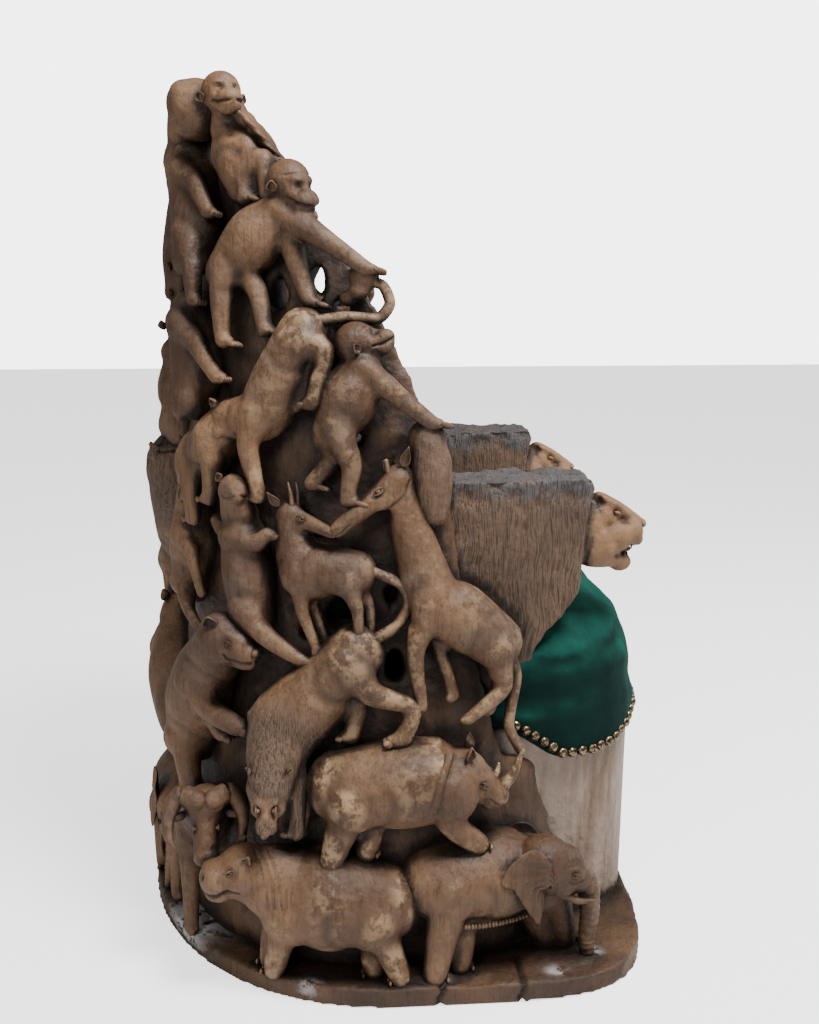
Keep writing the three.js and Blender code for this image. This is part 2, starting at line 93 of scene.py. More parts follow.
def on_trunk(side, reach, z, out):
    """A place on the trunk's skin and the way outwards. Reach runs round it from the side's middle."""
    step = -math.copysign(0.02, reach or 1)
    turns = step * np.arange(170)
    x, y = trunk_plan(turns, z)
    gone = np.concatenate(([0], np.cumsum(np.hypot(np.diff(x), np.diff(y)))))
    i = int(np.searchsorted(gone, abs(reach), side="right")) - 1
    i = min(max(i, 0), len(turns) - 2)
    share = (abs(reach) - gone[i]) / (gone[i + 1] - gone[i])
    ahead = Vector((x[i + 1] - x[i], y[i + 1] - y[i], 0)) * math.copysign(1, step)
    outward = Vector((-ahead.y, ahead.x, 0)).normalized()
    place = Vector((x[i] + share * (x[i + 1] - x[i]), y[i] + share * (y[i + 1] - y[i]), z)) + outward * out
    place.x *= -side
    outward.x *= -side
    return place, outward


def quarter_reach(z):
    x, y = trunk_plan(np.arange(0, math.pi / 2, 0.02), z)
    return float(np.hypot(np.diff(x), np.diff(y)).sum())


ARC_HEIGHTS = np.arange(0, 1601, 25)
ARC_TURNS = np.linspace(-3.1, 3.1, 621)


def arc_table():
    rows = []
    for z in ARC_HEIGHTS:
        x, y = trunk_plan(ARC_TURNS, z)
        gone = np.concatenate(([0], np.cumsum(np.hypot(np.diff(x), np.diff(y)))))
        rows.append(gone - gone[len(ARC_TURNS) // 2])
    return np.array(rows)


ARCS = arc_table()


def reach_of(places, side):
    """How far round the trunk each place lies from the middle of a side."""
    x, y, z = -side * places[:, 0], places[:, 1] - CENTRE_Y, places[:, 2]
    across = -x / np.interp(z, HEIGHTS, HALF_WIDTHS)
    back = y / np.interp(z, HEIGHTS, HALF_DEPTHS)
    power = TRUNK_ROUNDNESS / 2
    turn = np.arctan2(np.sign(back) * np.abs(back) ** power, np.sign(across) * np.abs(across) ** power)
    row = np.clip(z / 25, 0, len(ARC_HEIGHTS) - 1.001)
    column = np.clip((turn - ARC_TURNS[0]) / (ARC_TURNS[1] - ARC_TURNS[0]), 0, len(ARC_TURNS) - 1.001)
    i, j = row.astype(int), column.astype(int)
    a, b = row - i, column - j
    gone = ((1 - a) * ((1 - b) * ARCS[i, j] + b * ARCS[i, j + 1])
            + a * ((1 - b) * ARCS[i + 1, j] + b * ARCS[i + 1, j + 1]))
    return -gone


# ---- clay: overlapping lumps that are then made one skin ----
def lump(bm, stand, at, radii, pitch=0.0, fineness=3):
    """A ball in the frame `stand`, in millimetres, squashed to its radii and pitched up by degrees."""
    turned = Matrix.Rotation(math.radians(-pitch), 4, "Y")
    place = stand @ Matrix.Translation(Vector(at)) @ turned @ Matrix.Diagonal((*radii, 1))
    bmesh.ops.create_icosphere(bm, subdivisions=fineness, radius=1, matrix=place)


def along_line(line, steps=5, ease=0.75):
    """More rows between the rows of a table, on a smooth curve through them."""
    line = np.array(line, float)
    tangents = np.gradient(line, axis=0) * ease
    rows = []
    for i in range(len(line) - 1):
        for t in np.arange(steps) / steps:
            a, b = 2 * t**3 - 3 * t**2 + 1, t**3 - 2 * t**2 + t
            c, d = 1 - a, t**3 - t**2
            rows.append(a * line[i] + b * tangents[i] + c * line[i + 1] + d * tangents[i + 1])
    rows.append(line[-1])
    return np.array(rows)


def face_outwards(bm, faces):
    """Turns the faces of one closed shape so that they all look out of it."""
    bmesh.ops.recalc_face_normals(bm, faces=faces)
    volume = sum(face.calc_center_median().dot(face.normal) * face.calc_area() for face in faces)
    if volume < 0:
        bmesh.ops.reverse_faces(bm, faces=faces)


def tube(bm, joints, sides=16, flat=1.0):
    """A bent tube with round ends. Each joint is a place, the way outwards and a radius."""
    cap = 4
    rows = len(joints) - 1 + 2 * cap
    rings = []
    for i, (place, outward, radius) in enumerate(joints):
        before, after = joints[max(i - 1, 0)][0], joints[min(i + 1, len(joints) - 1)][0]
        ahead = (after - before).normalized()
        guide = Vector((0, 0, 1)) if abs(ahead.dot(outward)) > 0.92 else outward
        lift = (guide - ahead * guide.dot(ahead)).normalized()
        rings.append((place, ahead, lift * radius * flat, ahead.cross(lift) * radius, radius))
    made = bmesh.ops.create_uvsphere(bm, u_segments=sides, v_segments=rows, radius=1)
    for vertex in made["verts"]:
        row = round(math.acos(max(-1, min(1, vertex.co.z))) / math.pi * rows)
        around = math.atan2(vertex.co.y, vertex.co.x)
        place, ahead, lift, across, radius = rings[min(max(row - cap, 0), len(joints) - 1)]
        tilt = min(row, rows - row, cap) / cap * math.pi / 2
        push = math.cos(tilt) * radius * (-1 if row < cap else 1)
        wide = math.sin(tilt)
        vertex.co = place + ahead * push + (lift * math.cos(around) + across * math.sin(around)) * wide
    face_outwards(bm, list({f for v in made["verts"] for f in v.link_faces}))


def as_mesh(bm, name):
    mesh = bpy.data.meshes.new(name)
    bm.to_mesh(mesh)
    bm.free()
    return mesh


def add_shape(into, bm, place):
    """Moves a closed shape to its place and adds it to the pieces in `into`."""
    bmesh.ops.transform(bm, matrix=place, verts=bm.verts)
    face_outwards(bm, bm.faces[:])
    mesh = as_mesh(bm, "shape")
    into.from_mesh(mesh)
    bpy.data.meshes.remove(mesh)


def in_scene(name, data):
    made = bpy.data.objects.new(name, data)
    bpy.context.scene.collection.objects.link(made)
    return made


def frame_at(place, x_way, y_way, z_way):
    return Matrix.Translation(place) @ Matrix((x_way, y_way, z_way)).transposed().to_4x4()


def new_object(name, mesh, material):
    piece = in_scene(name, mesh)
    mesh.materials.clear()
    mesh.materials.append(material)
    return piece


def one_skin(bm, voxel, softness, cut_away=None):
    """The lumps as one closed skin in metres, less what the plugs in `cut_away` fill."""
    bmesh.ops.scale(bm, vec=(MM, MM, MM), verts=bm.verts)
    clay = in_scene("clay", as_mesh(bm, "clay"))
    if cut_away:
        cut = clay.modifiers.new("cut away", "BOOLEAN")
        cut.operation = "DIFFERENCE"
        cut.object = cut_away
        cut.solver = "EXACT"
    remesh = clay.modifiers.new("one skin", "REMESH")
    remesh.mode = "VOXEL"
    remesh.voxel_size = voxel * MM
    soft = clay.modifiers.new("soften", "SMOOTH")
    soft.factor = 0.5
    soft.iterations = softness
    skin = bpy.data.meshes.new_from_object(clay.evaluated_get(bpy.context.evaluated_depsgraph_get()))
    bpy.data.objects.remove(clay)
    if cut_away:
        bpy.data.objects.remove(cut_away)
    return skin


def places_of(mesh):
    places = np.empty(len(mesh.vertices) * 3, np.float32)
    mesh.vertices.foreach_get("co", places)
    return places.reshape(-1, 3).astype(float) / MM


def normals_of(mesh):
    normals = np.empty(len(mesh.vertices) * 3, np.float32)
    mesh.vertex_normals.foreach_get("vector", normals)
    return normals.reshape(-1, 3).astype(float)


def move_to(mesh, places):
    mesh.vertices.foreach_set("co", (places * MM).astype(np.float32).ravel())
    mesh.update()


def push_out(mesh, amount):
    """Moves each point outwards by its own amount in millimetres, or inwards if that is below 0."""
    move_to(mesh, places_of(mesh) + normals_of(mesh) * amount[:, None])


def crag_at(places, size, fade, step, layers):
    """Fractal roughness at each place, with lumps about `size` millimetres across."""
    return np.array([noise.fractal(Vector(p) / size, fade, step, layers) for p in places])


def hollows(mesh, rounds=14):
    """How far each point lies below the smoothed skin, in millimetres: above 0 in a crease."""
    places, normals = places_of(mesh), normals_of(mesh)
    edges = np.empty(len(mesh.edges) * 2, np.int32)
    mesh.edges.foreach_get("vertices", edges)
    a, b = edges.reshape(-1, 2).T
    ends, others = np.concatenate((a, b)), np.concatenate((b, a))
    count = np.maximum(np.bincount(ends, minlength=len(places)), 1)
    smooth = places.copy()
    for _ in range(rounds):
        smooth = np.stack([
            np.bincount(ends, weights=smooth[others, k], minlength=len(places)) / count for k in range(3)
        ], axis=1)
    return ((smooth - places) * normals).sum(1)


def paint(mesh, name, values):
    layer = mesh.attributes.get(name) or mesh.attributes.new(name, "FLOAT", "POINT")
    layer.data.foreach_set("value", np.asarray(values, np.float32))


# ---- materials ----
class Finish:
    """A material and short ways to wire its nodes."""

    def __init__(self, name):
        self.material = bpy.data.materials.new(name)
        self.material.use_nodes = True
        self.tree = self.material.node_tree
        self.tree.nodes.clear()
        self.output = self.node("ShaderNodeOutputMaterial")
        self.shader = self.node("ShaderNodeBsdfPrincipled")
        self.wire(self.shader, 0, self.output, 0)
        self.coordinates = self.node("ShaderNodeTexCoord")

    def node(self, kind, **settings):
        made = self.tree.nodes.new(kind)
        for key, value in settings.items():
            if hasattr(made, key):
                setattr(made, key, value)
            else:
                made.inputs[key.replace("_", " ")].default_value = value
        return made

    def wire(self, a, out, b, into):
        self.tree.links.new(a.outputs[out], b.inputs[into])

    def noise(self, scale, detail=4.0, stretch=(1, 1, 1), roughness=0.5, distortion=0.0):
        spread = self.node("ShaderNodeMapping")
        spread.inputs["Scale"].default_value = stretch
        self.wire(self.coordinates, "Object", spread, "Vector")
        grain = self.node("ShaderNodeTexNoise", Scale=scale, Detail=detail, Roughness=roughness,
                          Distortion=distortion)
        self.wire(spread, 0, grain, "Vector")
        return grain

    def attribute(self, name):
        return self.node("ShaderNodeAttribute", attribute_name=name)

    def levels(self, source, out, low, high, to_low=0.0, to_high=1.0):
        graded = self.node("ShaderNodeMapRange")
        graded.interpolation_type = "SMOOTHSTEP"
        values = {"From Min": low, "From Max": high, "To Min": to_low, "To Max": to_high}
        for socket, value in values.items():
            graded.inputs[socket].default_value = value
        self.wire(source, out, graded, "Value")
        return graded

    def maths(self, operation, a, b):
        sum_node = self.node("ShaderNodeMath", operation=operation)
        for i, source in enumerate((a, b)):
            if isinstance(source, (int, float)):
                sum_node.inputs[i].default_value = source
            else:
                self.wire(source[0], source[1], sum_node, i)
        return sum_node

    def blend(self, share, a, b, mode="MIX"):
        """Colour a turning to colour b where `share` is 1."""
        mix = self.node("ShaderNodeMix", data_type="RGBA", blend_type=mode)
        if isinstance(share, (int, float)):
            mix.inputs[0].default_value = share
        else:
            self.wire(share[0], share[1], mix, 0)
        for socket, colour in ((6, a), (7, b)):
            if isinstance(colour, tuple) and isinstance(colour[0], float):
                mix.inputs[socket].default_value = (*colour, 1)
            else:
                self.wire(colour[0], colour[1], mix, socket)
        return mix

    def bump(self, height, out, distance, strength=1.0, under=None):
        made = self.node("ShaderNodeBump", Strength=strength, Distance=distance)
        self.wire(height, out, made, "Height")
        if under:
            self.wire(under, 0, made, "Normal")
        return made


def srgb(red, green, blue):
    """A linear colour from the usual 0 to 255 numbers."""
    shares = (c / 255 for c in (red, green, blue))
    return tuple(c / 12.92 if c < 11 / 255 else ((c + 0.055) / 1.055) ** 2.4 for c in shares)


DEEP_WOOD = srgb(74, 52, 36)
WARM_WOOD = srgb(116, 86, 61)
SMOKED = srgb(102, 86, 77)
GRAIN = srgb(46, 30, 20)
PORES = srgb(34, 22, 15)
RUBBED = srgb(186, 156, 120)
POLISHED = srgb(150, 112, 80)
PALE_SAP = srgb(158, 140, 126)
BROWN_SAP = srgb(112, 88, 70)
MANE = srgb(98, 80, 66)
WEATHERED = srgb(84, 80, 80)
STRAND = srgb(36, 25, 19)
# Painted shade and dirt in creases, cuts and cracks.
CREVICE_SHADE_AND_DIRT = srgb(30, 19, 12)
SHADE = srgb(24, 14, 8)
CHALK = srgb(200, 198, 200)


def carved_wood():
    finish = Finish("carved_wood")
    tone = finish.noise(6, detail=5, stretch=(1, 1, 0.5))
    body = finish.blend((finish.levels(tone, 0, 0.36, 0.66), 0), DEEP_WOOD, WARM_WOOD)
    smoky = finish.noise(11, detail=4, roughness=0.6)
    body = finish.blend((finish.levels(smoky, 0, 0.52, 0.68, 0, 0.34), 0), (body, 2), SMOKED)
    grain = finish.noise(170, detail=5, stretch=(1, 1, 0.05), distortion=0.4)
    body = finish.blend((finish.levels(grain, 0, 0.48, 0.70, 0, 0.42), 0), (body, 2), GRAIN)
    pores = finish.noise(520, detail=2, stretch=(1, 1, 0.12))
    body = finish.blend((finish.levels(pores, 0, 0.58, 0.70, 0, 0.35), 0), (body, 2), PORES)
    patchy = finish.noise(38, detail=8, roughness=0.72)
    worn = finish.maths("MULTIPLY", (finish.attribute("worn"), "Fac"),
                        (finish.levels(patchy, 0, 0.44, 0.57), 0))
    body = finish.blend((worn, 0), (body, 2), RUBBED)
    body = finish.blend((finish.attribute("polish"), "Fac"), (body, 2), POLISHED)
    sap = finish.attribute("sapwood")
    streaks = finish.noise(15, detail=9, stretch=(1, 1, 0.2), roughness=0.66)
    pale = finish.blend((finish.levels(streaks, 0, 0.36, 0.64), 0), PALE_SAP, BROWN_SAP)
    body = finish.blend((sap, "Fac"), (body, 2), (pale, 2))
    hair = finish.attribute("hair")
    strands = strands_of(finish)
    body = finish.blend((finish.maths("MULTIPLY", (hair, "Fac"), 0.6), 0), (body, 2), MANE)
    weather = finish.maths("MULTIPLY", (finish.attribute("weather"), "Fac"),
                           (finish.levels(smoky, 0, 0.3, 0.55, 0.45, 1), 0))
    body = finish.blend((weather, 0), (body, 2), WEATHERED)
    lines = finish.maths("MULTIPLY", (hair, "Fac"), (finish.levels(strands, 0, 0.38, 0.54, 0.62, 0), 0))
    body = finish.blend((lines, 0), (body, 2), STRAND)
    # Painted shade and dirt in creases, cuts and cracks, where the crevice attribute is high.
    body = finish.blend((finish.attribute("crevice"), "Fac"), (body, 2), CREVICE_SHADE_AND_DIRT)
    # Painted shade: near black where other wood lies close in front.
    body = finish.blend((finish.attribute("shade"), "Fac"), (body, 2), SHADE)
    chalk = finish.maths("MULTIPLY", (finish.attribute("dust"), "Fac"),
                         (finish.levels(patchy, 0, 0.42, 0.52), 0))
    body = finish.blend((chalk, 0), (body, 2), CHALK)
    finish.wire(body, 2, finish.shader, "Base Color")
    rough = finish.levels(smoky, 0, 0.3, 0.7, 0.5, 0.68)
    finish.wire(rough, 0, finish.shader, "Roughness")
    finish.shader.inputs["Specular IOR Level"].default_value = 0.34
    chisel = finish.noise(58, detail=3, roughness=0.5)
    relief = finish.bump(chisel, 0, 0.006, 0.7)
    relief = finish.bump(pores, 0, 0.0005, 0.5, relief)
    relief = finish.bump(grain, 0, 0.0009, 0.5, relief)
    depth = finish.maths("MULTIPLY", (hair, "Fac"), (strands, 0))
    relief = finish.bump(depth, 0, 0.004, 0.9, relief)
    finish.wire(relief, 0, finish.shader, "Normal")
    return finish.material


def strands_of(finish):
    """Fine, nearly straight strands that run down and slightly forward, for a mane."""
    sway = finish.noise(9, detail=2)
    spread = finish.node("ShaderNodeMapping")
    spread.inputs["Rotation"].default_value = (math.radians(14), 0, 0)
    spread.inputs["Scale"].default_value = (1, 1, 0.05)
    warped = finish.node("ShaderNodeVectorMath", operation="MULTIPLY_ADD")
    warped.inputs[1].default_value = (0, 0.03, 0)
    finish.wire(sway, 1, warped, 0)
    finish.wire(finish.coordinates, "Object", warped, 2)
    finish.wire(warped, 0, spread, "Vector")
    strands = finish.node("ShaderNodeTexNoise", Scale=400, Detail=4)
    finish.wire(spread, 0, strands, "Vector")
    return strands


def velvet():
    finish = Finish("seat_velvet")
    # The pile's own tone, darker and lighter in patches.
    nap_and_side_shade = finish.noise(10, detail=6, stretch=(1, 1, 0.8), roughness=0.6)
    colour = finish.blend((finish.levels(nap_and_side_shade, 0, 0.35, 0.68), 0), srgb(6, 50, 43), srgb(14, 74, 63))
    brushed = finish.noise(60, detail=5, stretch=(0.4, 0.4, 1))
    colour = finish.blend((finish.levels(brushed, 0, 0.55, 0.75, 0, 0.5), 0), (colour, 2), srgb(4, 34, 30))
    # Painted shade: the seat's steep sides are darker than its top, as if lit from above.
    colour = finish.blend((finish.attribute("nap_and_side_shade"), "Fac"), (colour, 2), srgb(2, 20, 18))
    finish.wire(colour, 2, finish.shader, "Base Color")
    finish.shader.inputs["Roughness"].default_value = 0.85
    finish.shader.inputs["Specular IOR Level"].default_value = 0.12
    finish.shader.inputs["Sheen Weight"].default_value = 0.14
    finish.shader.inputs["Sheen Roughness"].default_value = 0.35
    finish.shader.inputs["Sheen Tint"].default_value = (*srgb(60, 160, 140), 1)
    pile = finish.noise(1500, detail=2)
    crumple = finish.noise(22, detail=4, stretch=(1, 1, 1.6))
    relief = finish.bump(crumple, 0, 0.006, 0.35)
    finish.wire(finish.bump(pile, 0, 0.0006, 0.5, relief), 0, finish.shader, "Normal")
    return finish.material


def antique_brass():
    finish = Finish("antique_brass")
    stain = finish.noise(240, detail=4)
    colour = finish.blend((finish.levels(stain, 0, 0.4, 0.62), 0), srgb(140, 124, 98), srgb(54, 44, 34))
    finish.wire(colour, 2, finish.shader, "Base Color")
    finish.shader.inputs["Metallic"].default_value = 1.0
    finish.wire(finish.levels(stain, 0, 0.3, 0.7, 0.24, 0.45), 0, finish.shader, "Roughness")
    finish.wire(finish.bump(stain, 0, 0.0002, 0.15), 0, finish.shader, "Normal")
    return finish.material


WOOD = carved_wood()
VELVET = velvet()
BRASS = antique_brass()

# ---- the beasts ----
# Radii: body at rump, belly and shoulder; top of the neck; head at the poll; leg at hip, knee, ankle
# and foot. All the tables are in millimetres and degrees.
NATURAL_LENGTH = 1.25
KINDS = {
    "hippo": dict(body=[74, 88, 80], neck=56, head=52, leg=[34, 24, 20, 24], foot="pillar"),
    "elephant": dict(body=[68, 80, 72], neck=48, head=46, leg=[34, 26, 22, 26], foot="pillar"),
    "buffalo": dict(body=[55, 60, 55], neck=42, head=40, leg=[26, 17, 14, 17], foot="hoof"),
    "rhino": dict(body=[70, 75, 68], neck=50, head=48, leg=[34, 24, 20, 22], foot="pillar"),
    "lion": dict(body=[54, 60, 66], neck=68, head=34, leg=[34, 20, 15, 18], foot="paw"),
    "bear": dict(body=[58, 64, 58], neck=46, head=44, leg=[32, 22, 19, 20], foot="paw"),
    "cub": dict(body=[42, 44, 38], neck=28, head=32, leg=[26, 17, 13, 14], foot="paw"),
    "buck": dict(body=[42, 46, 44], neck=22, head=23, leg=[20, 11, 9, 10], foot="hoof"),
    "giraffe": dict(body=[52, 55, 48], neck=23, head=26, leg=[28, 15, 11, 14], foot="hoof"),
    "ape": dict(body=[42, 50, 36], neck=24, head=38, leg=[24, 17, 14, 12], foot="hand"),
    "cat": dict(body=[47, 46, 46], neck=36, head=36, leg=[28, 18, 14, 16], foot="paw"),
}
# Each beast: its body's middle as the way to the front from the side's middle and the height, then how
# long its back is and how many degrees it leans. Face 1 looks to the front and -1 to the rear. Each leg,
# neck, head and tail is degrees and a length for each part in turn, where 0 is ahead and 90 is up, and
# the outer leg of a pair comes first.
HERD = [
    dict(name="hippo", kind="hippo", at=[-108, 153], long=110, lean=4, face=-1,
         fore=[[-70, 72, -78, 50], [-55, 80, -80, 45]], hind=[[-119, 63, -109, 64], [-95, 60, -95, 60]],
         stands=True),
    dict(name="elephant", kind="elephant", at=[156, 172], long=145, lean=-2, face=1,
         fore=[[-58, 74, -74, 62], [-80, 80, -70, 50]], hind=[[-106, 73, -101, 58], [-75, 70, -95, 60]],
         stands=True),
    dict(name="buffalo", kind="buffalo", at=[-462, 212], long=100, lean=4, face=1,
         fore=[[-80, 90, -86, 86]], hind=[[-88, 85, -88, 80]], stands=True, near_only=True),
    dict(name="rhino", kind="rhino", at=[5, 349], long=140, lean=3, face=1, fore=[[-85, 62, -45, 60]],
         hind=[[-111, 85, -105, 50], [-70, 60, -100, 50]], tail=[[-150, 30], [-100, 60]]),
    dict(name="lion", kind="lion", at=[-135, 490], long=160, lean=-47, face=-1,
         fore=[[-113, 76, -91, 90], [-94, 80, -90, 85]],
         hind=[[-132, 60, -159, 68, -72, 54], [-105, 65, -80, 60]],
         tail=[[150, 60], [120, 40], [70, 35], [25, 60]]),
    dict(name="bear", kind="bear", at=[-385, 440], long=139, lean=60, face=1,
         fore=[[-59, 58, -19, 61], [-85, 60, -50, 50]], hind=[[-68, 60, -60, 66]]),
    dict(name="cub", kind="cub", at=[-250, 685], long=120, lean=97, face=1,
         fore=[[-5, 42, 40, 20], [175, 42, 140, 20]], hind=[[-43, 54, -32, 66]], near_only=True),
    dict(name="buck", kind="buck", at=[-116, 695], long=70, lean=3, face=-1, neck=[77, 88],
         head=[-166, 88], fore=[[-96, 63, -109, 69], [-105, 60, -110, 60]],
         hind=[[-110, 55, -92, 50], [-125, 60, -95, 50]], near_only=True),
    dict(name="giraffe", kind="giraffe", at=[102, 618], long=121, lean=38, face=-1, neck=[75, 190],
         head=[-34, 126], fore=[[-72, 89, -96, 90], [-95, 55, -106, 118]],
         hind=[[-101, 81, -39, 71], [-110, 70, -70, 60]], tail=[[-110, 50], [-80, 80], [-115, 55]]),
    dict(name="monkey", kind="ape", at=[-70, 975], long=98, lean=66, face=1, fore=[[-38, 61, -40, 75]],
         hind=[[-70, 66, -97, 56], [-100, 58, -131, 53]], near_only=True),
    dict(name="leopard", kind="cat", at=[-183, 1002], long=132, lean=-61, face=-1, neck=[-15, 57],
         head=[-56, 75], fore=[[-75, 52, -101, 82]], hind=[[-165, 46, -78, 85], [-110, 60, -60, 50]],
         tail=[[172, 60], [182, 50], [130, 30], [70, 30], [20, 25]]),
    dict(name="chimp", kind="ape", at=[-222, 1225], long=130, lean=44, face=1,
         fore=[[-34, 85, -37, 78], [-75, 90, -72, 65]], hind=[[-95, 60, -88, 60], [-40, 60, -77, 66]]),
    dict(name="top_ape", kind="ape", at=[-250, 1362], long=78, lean=106, face=1,
         fore=[[-40, 52, -96, 78], [-20, 56, -60, 40]], hind=[[30, 50, -85, 60]], near_only=True),
    dict(name="top_climber", kind="cat", at=[-395, 1400], long=74, lean=60, face=1, fore=[],
         hind=[[-85, 60, -92, 60]], near_only=True),
    dict(name="climber", kind="cat", at=[-365, 1285], long=110, lean=-75, face=1,
         fore=[[-75, 60, -90, 50]], hind=[[-20, 55, -60, 60]], near_only=True),
    dict(name="low_climber", kind="cat", at=[-375, 1040], long=90, lean=-80, face=1, fore=[],
         hind=[[-30, 60, -50, 70]], near_only=True),
    dict(name="rear_buck", kind="buck", at=[-410, 690], long=90, lean=75, face=1, neck=[80, 120],
         head=[-55, 80], fore=[[-40, 60, -70, 60]], hind=[[-40, 70, -35, 70]], near_only=True),
    dict(name="lynx", kind="cat", at=[-330, 880], long=60, lean=-40, face=-1, neck=[-60, 36],
         head=[-80, 50], fore=[[-95, 50, -90, 50]], hind=[[-100, 50, -80, 50]], near_only=True),
]

# The rear is plainer, with fewer beasts. Their reach is measured from the middle of the back.
REAR_HERD = [
    dict(name="elephant", kind="elephant", at=[0, 168], long=150, lean=0, face=1, neck=[10, 86],
         head=[-30, 58], fore=[[-75, 74, -90, 62]], hind=[[-98, 73, -92, 58]], stands=True),
    dict(name="bear", kind="bear", at=[90, 420], long=150, lean=35, face=-1, neck=[40, 66],
         head=[-8, 100], fore=[[-60, 60, -70, 60]], hind=[]),
    dict(name="lion", kind="lion", at=[-30, 690], long=160, lean=62, face=1, neck=[70, 56], head=[40, 60],
         fore=[], hind=[[-75, 66, -100, 66]]),
    dict(name="ape", kind="ape", at=[40, 960], long=130, lean=76, face=-1, neck=[80, 46], head=[-20, 50],
         fore=[[-20, 70, 40, 66]], hind=[[-40, 62, -100, 62]]),
    dict(name="cat", kind="cat", at=[-10, 1260], long=150, lean=-66, face=1, neck=[-60, 50],
         head=[-50, 66], fore=[], hind=[[20, 50, -60, 66]]),
]


# ---- heads: x runs along the head in head lengths, y to its sides and z up, both in poll radii ----
class Head:
    def __init__(self, work, stand, length, wide):
        self.work, self.stand, self.length, self.wide = work, stand, length, wide

    def at(self, x, y, z):
        return Vector((x * self.length, y * self.wide, z * self.wide))

    def lump(self, x, y, z, rx, ry, rz, pitch=0, fineness=3, crisp=False):
        for side in (1, -1) if y else (1,):
            lump(self.work.crisp if crisp else self.work.clay, self.stand, self.at(x, side * y, z),
                 (rx * self.wide, ry * self.wide, rz * self.wide), pitch, fineness)

    def tube(self, points, radii, crisp=True, sides=10):
        """A tube on each side through x, y, z points, with radii in poll radii."""
        for side in (1, -1) if any(p[1] for p in points) else (1,):
            rows = along_line([(*self.at(x, side * y, z), r * self.wide)
                               for (x, y, z), r in zip(points, radii)])
            across = self.stand.to_3x3() @ Vector((0, side, 0))
            joints = [(self.stand @ Vector(row[:3]), across, row[3]) for row in rows]
            tube(self.work.crisp if crisp else self.work.clay, joints, sides)

    def cut(self, points, width, depth):
        """A groove on both cheeks through x, z points."""
        line = [(x * self.length, z * self.wide) for x, z in points]
        self.work.cuts.append((self.stand.inverted(), line, width * self.wide, depth * self.wide,
                                self.length + 1.5 * self.wide))

    def dent(self, x, y, z, radius, depth):
        for side in (1, -1) if y else (1,):
            middle = self.stand @ self.at(x, side * y, z)
            self.work.dents.append((np.array(middle), radius * self.wide, depth * self.wide))

    def eye(self, x, y, z, radius):
        self.dent(x, y * 1.02, z, radius * 2.3, radius * 0.9)
        for side in (1, -1):
            lump(self.work.crisp, self.stand, self.at(x, side * (y - radius * 0.75), z),
                 (radius * self.wide,) * 3, fineness=2)
            for lid, lift in ((1, 1.0), (-1, 0.75)):
                arc = []
                for k in range(7):
                    turn = math.radians(-80 + k * 160 / 6)
                    arc.append(self.at(x, side * (y - radius * (0.45 - 0.35 * math.cos(turn))), z)
                               + Vector((math.sin(turn) * 1.7, 0, lid * math.cos(turn) * lift))
                               * radius * self.wide)
                across = self.stand.to_3x3() @ Vector((0, side, 0))
                swell = [0.16 + 0.16 * math.sin(math.pi * k / 6) for k in range(7)]
                rows = [(self.stand @ p, across, radius * self.wide * s) for p, s in zip(arc, swell)]
                tube(self.work.crisp, rows, 8)

    def ear(self, x, y, z, long, wide, lean=30, spread=35, point=0.0, thick=0.12):
        """A cupped ear on each side. `lean` tips it back and `spread` out, and `point` narrows its tip."""
        for side in (1, -1):
            bm = bmesh.new()
            bmesh.ops.create_icosphere(bm, subdivisions=4, radius=1)
            for v in bm.verts:
                up = (v.co.z + 1) / 2
                narrow = (1 - point * up ** 1.5) * (0.62 + 0.38 * math.sin(math.pi * min(1, up * 1.15)))
                cup = max(0.0, 1 - (v.co.y / 0.8) ** 2 - ((v.co.z - 0.05) / 0.85) ** 2)
                front = v.co.x > 0
                v.co.x = v.co.x * thick - (cup * (thick * 1.6) if front else cup * thick * 0.3)
                v.co.x += 0.10 * v.co.y ** 2
                v.co.y *= narrow * wide
                v.co.z = up * long
            turn = (Matrix.Rotation(math.radians(-side * spread), 4, "X")
                    @ Matrix.Rotation(math.radians(-lean), 4, "Y")
                    @ Matrix.Rotation(math.radians(side * 48), 4, "Z"))
            root = self.stand @ Matrix.Translation(self.at(x, side * y, z))
            add_shape(self.work.crisp, bm, root @ turn @ Matrix.Scale(self.wide, 4))


def hippo_head(h):
    h.lump(0.0, 0, 0.05, 1.0, 0.95, 1.0)
    h.lump(0.5, 0, 0, 0.95, 0.86, 0.84)
    h.lump(0.98, 0, 0.04, 0.66, 0.9, 0.74)
    h.lump(0.9, 0, -0.46, 0.68, 0.8, 0.42)
    h.lump(0.3, 0.5, 0.6, 0.34, 0.26, 0.28)
    h.lump(1.18, 0.38, 0.5, 0.24, 0.2, 0.16)
    h.ear(-0.12, 0.72, 0.72, 0.42, 0.2, lean=20, spread=40)
    h.eye(0.42, 0.78, 0.42, 0.12)
    h.cut([(1.6, -0.28), (1.1, -0.36), (0.7, -0.24), (0.35, -0.42)], 0.07, 0.13)
    h.dent(1.4, 0.36, 0.42, 0.13, 0.12)
    for back in (-0.5, -0.72, -0.94):
        h.cut([(back, 1.1), (back - 0.08, 0), (back, -1.2)], 0.05, 0.06)


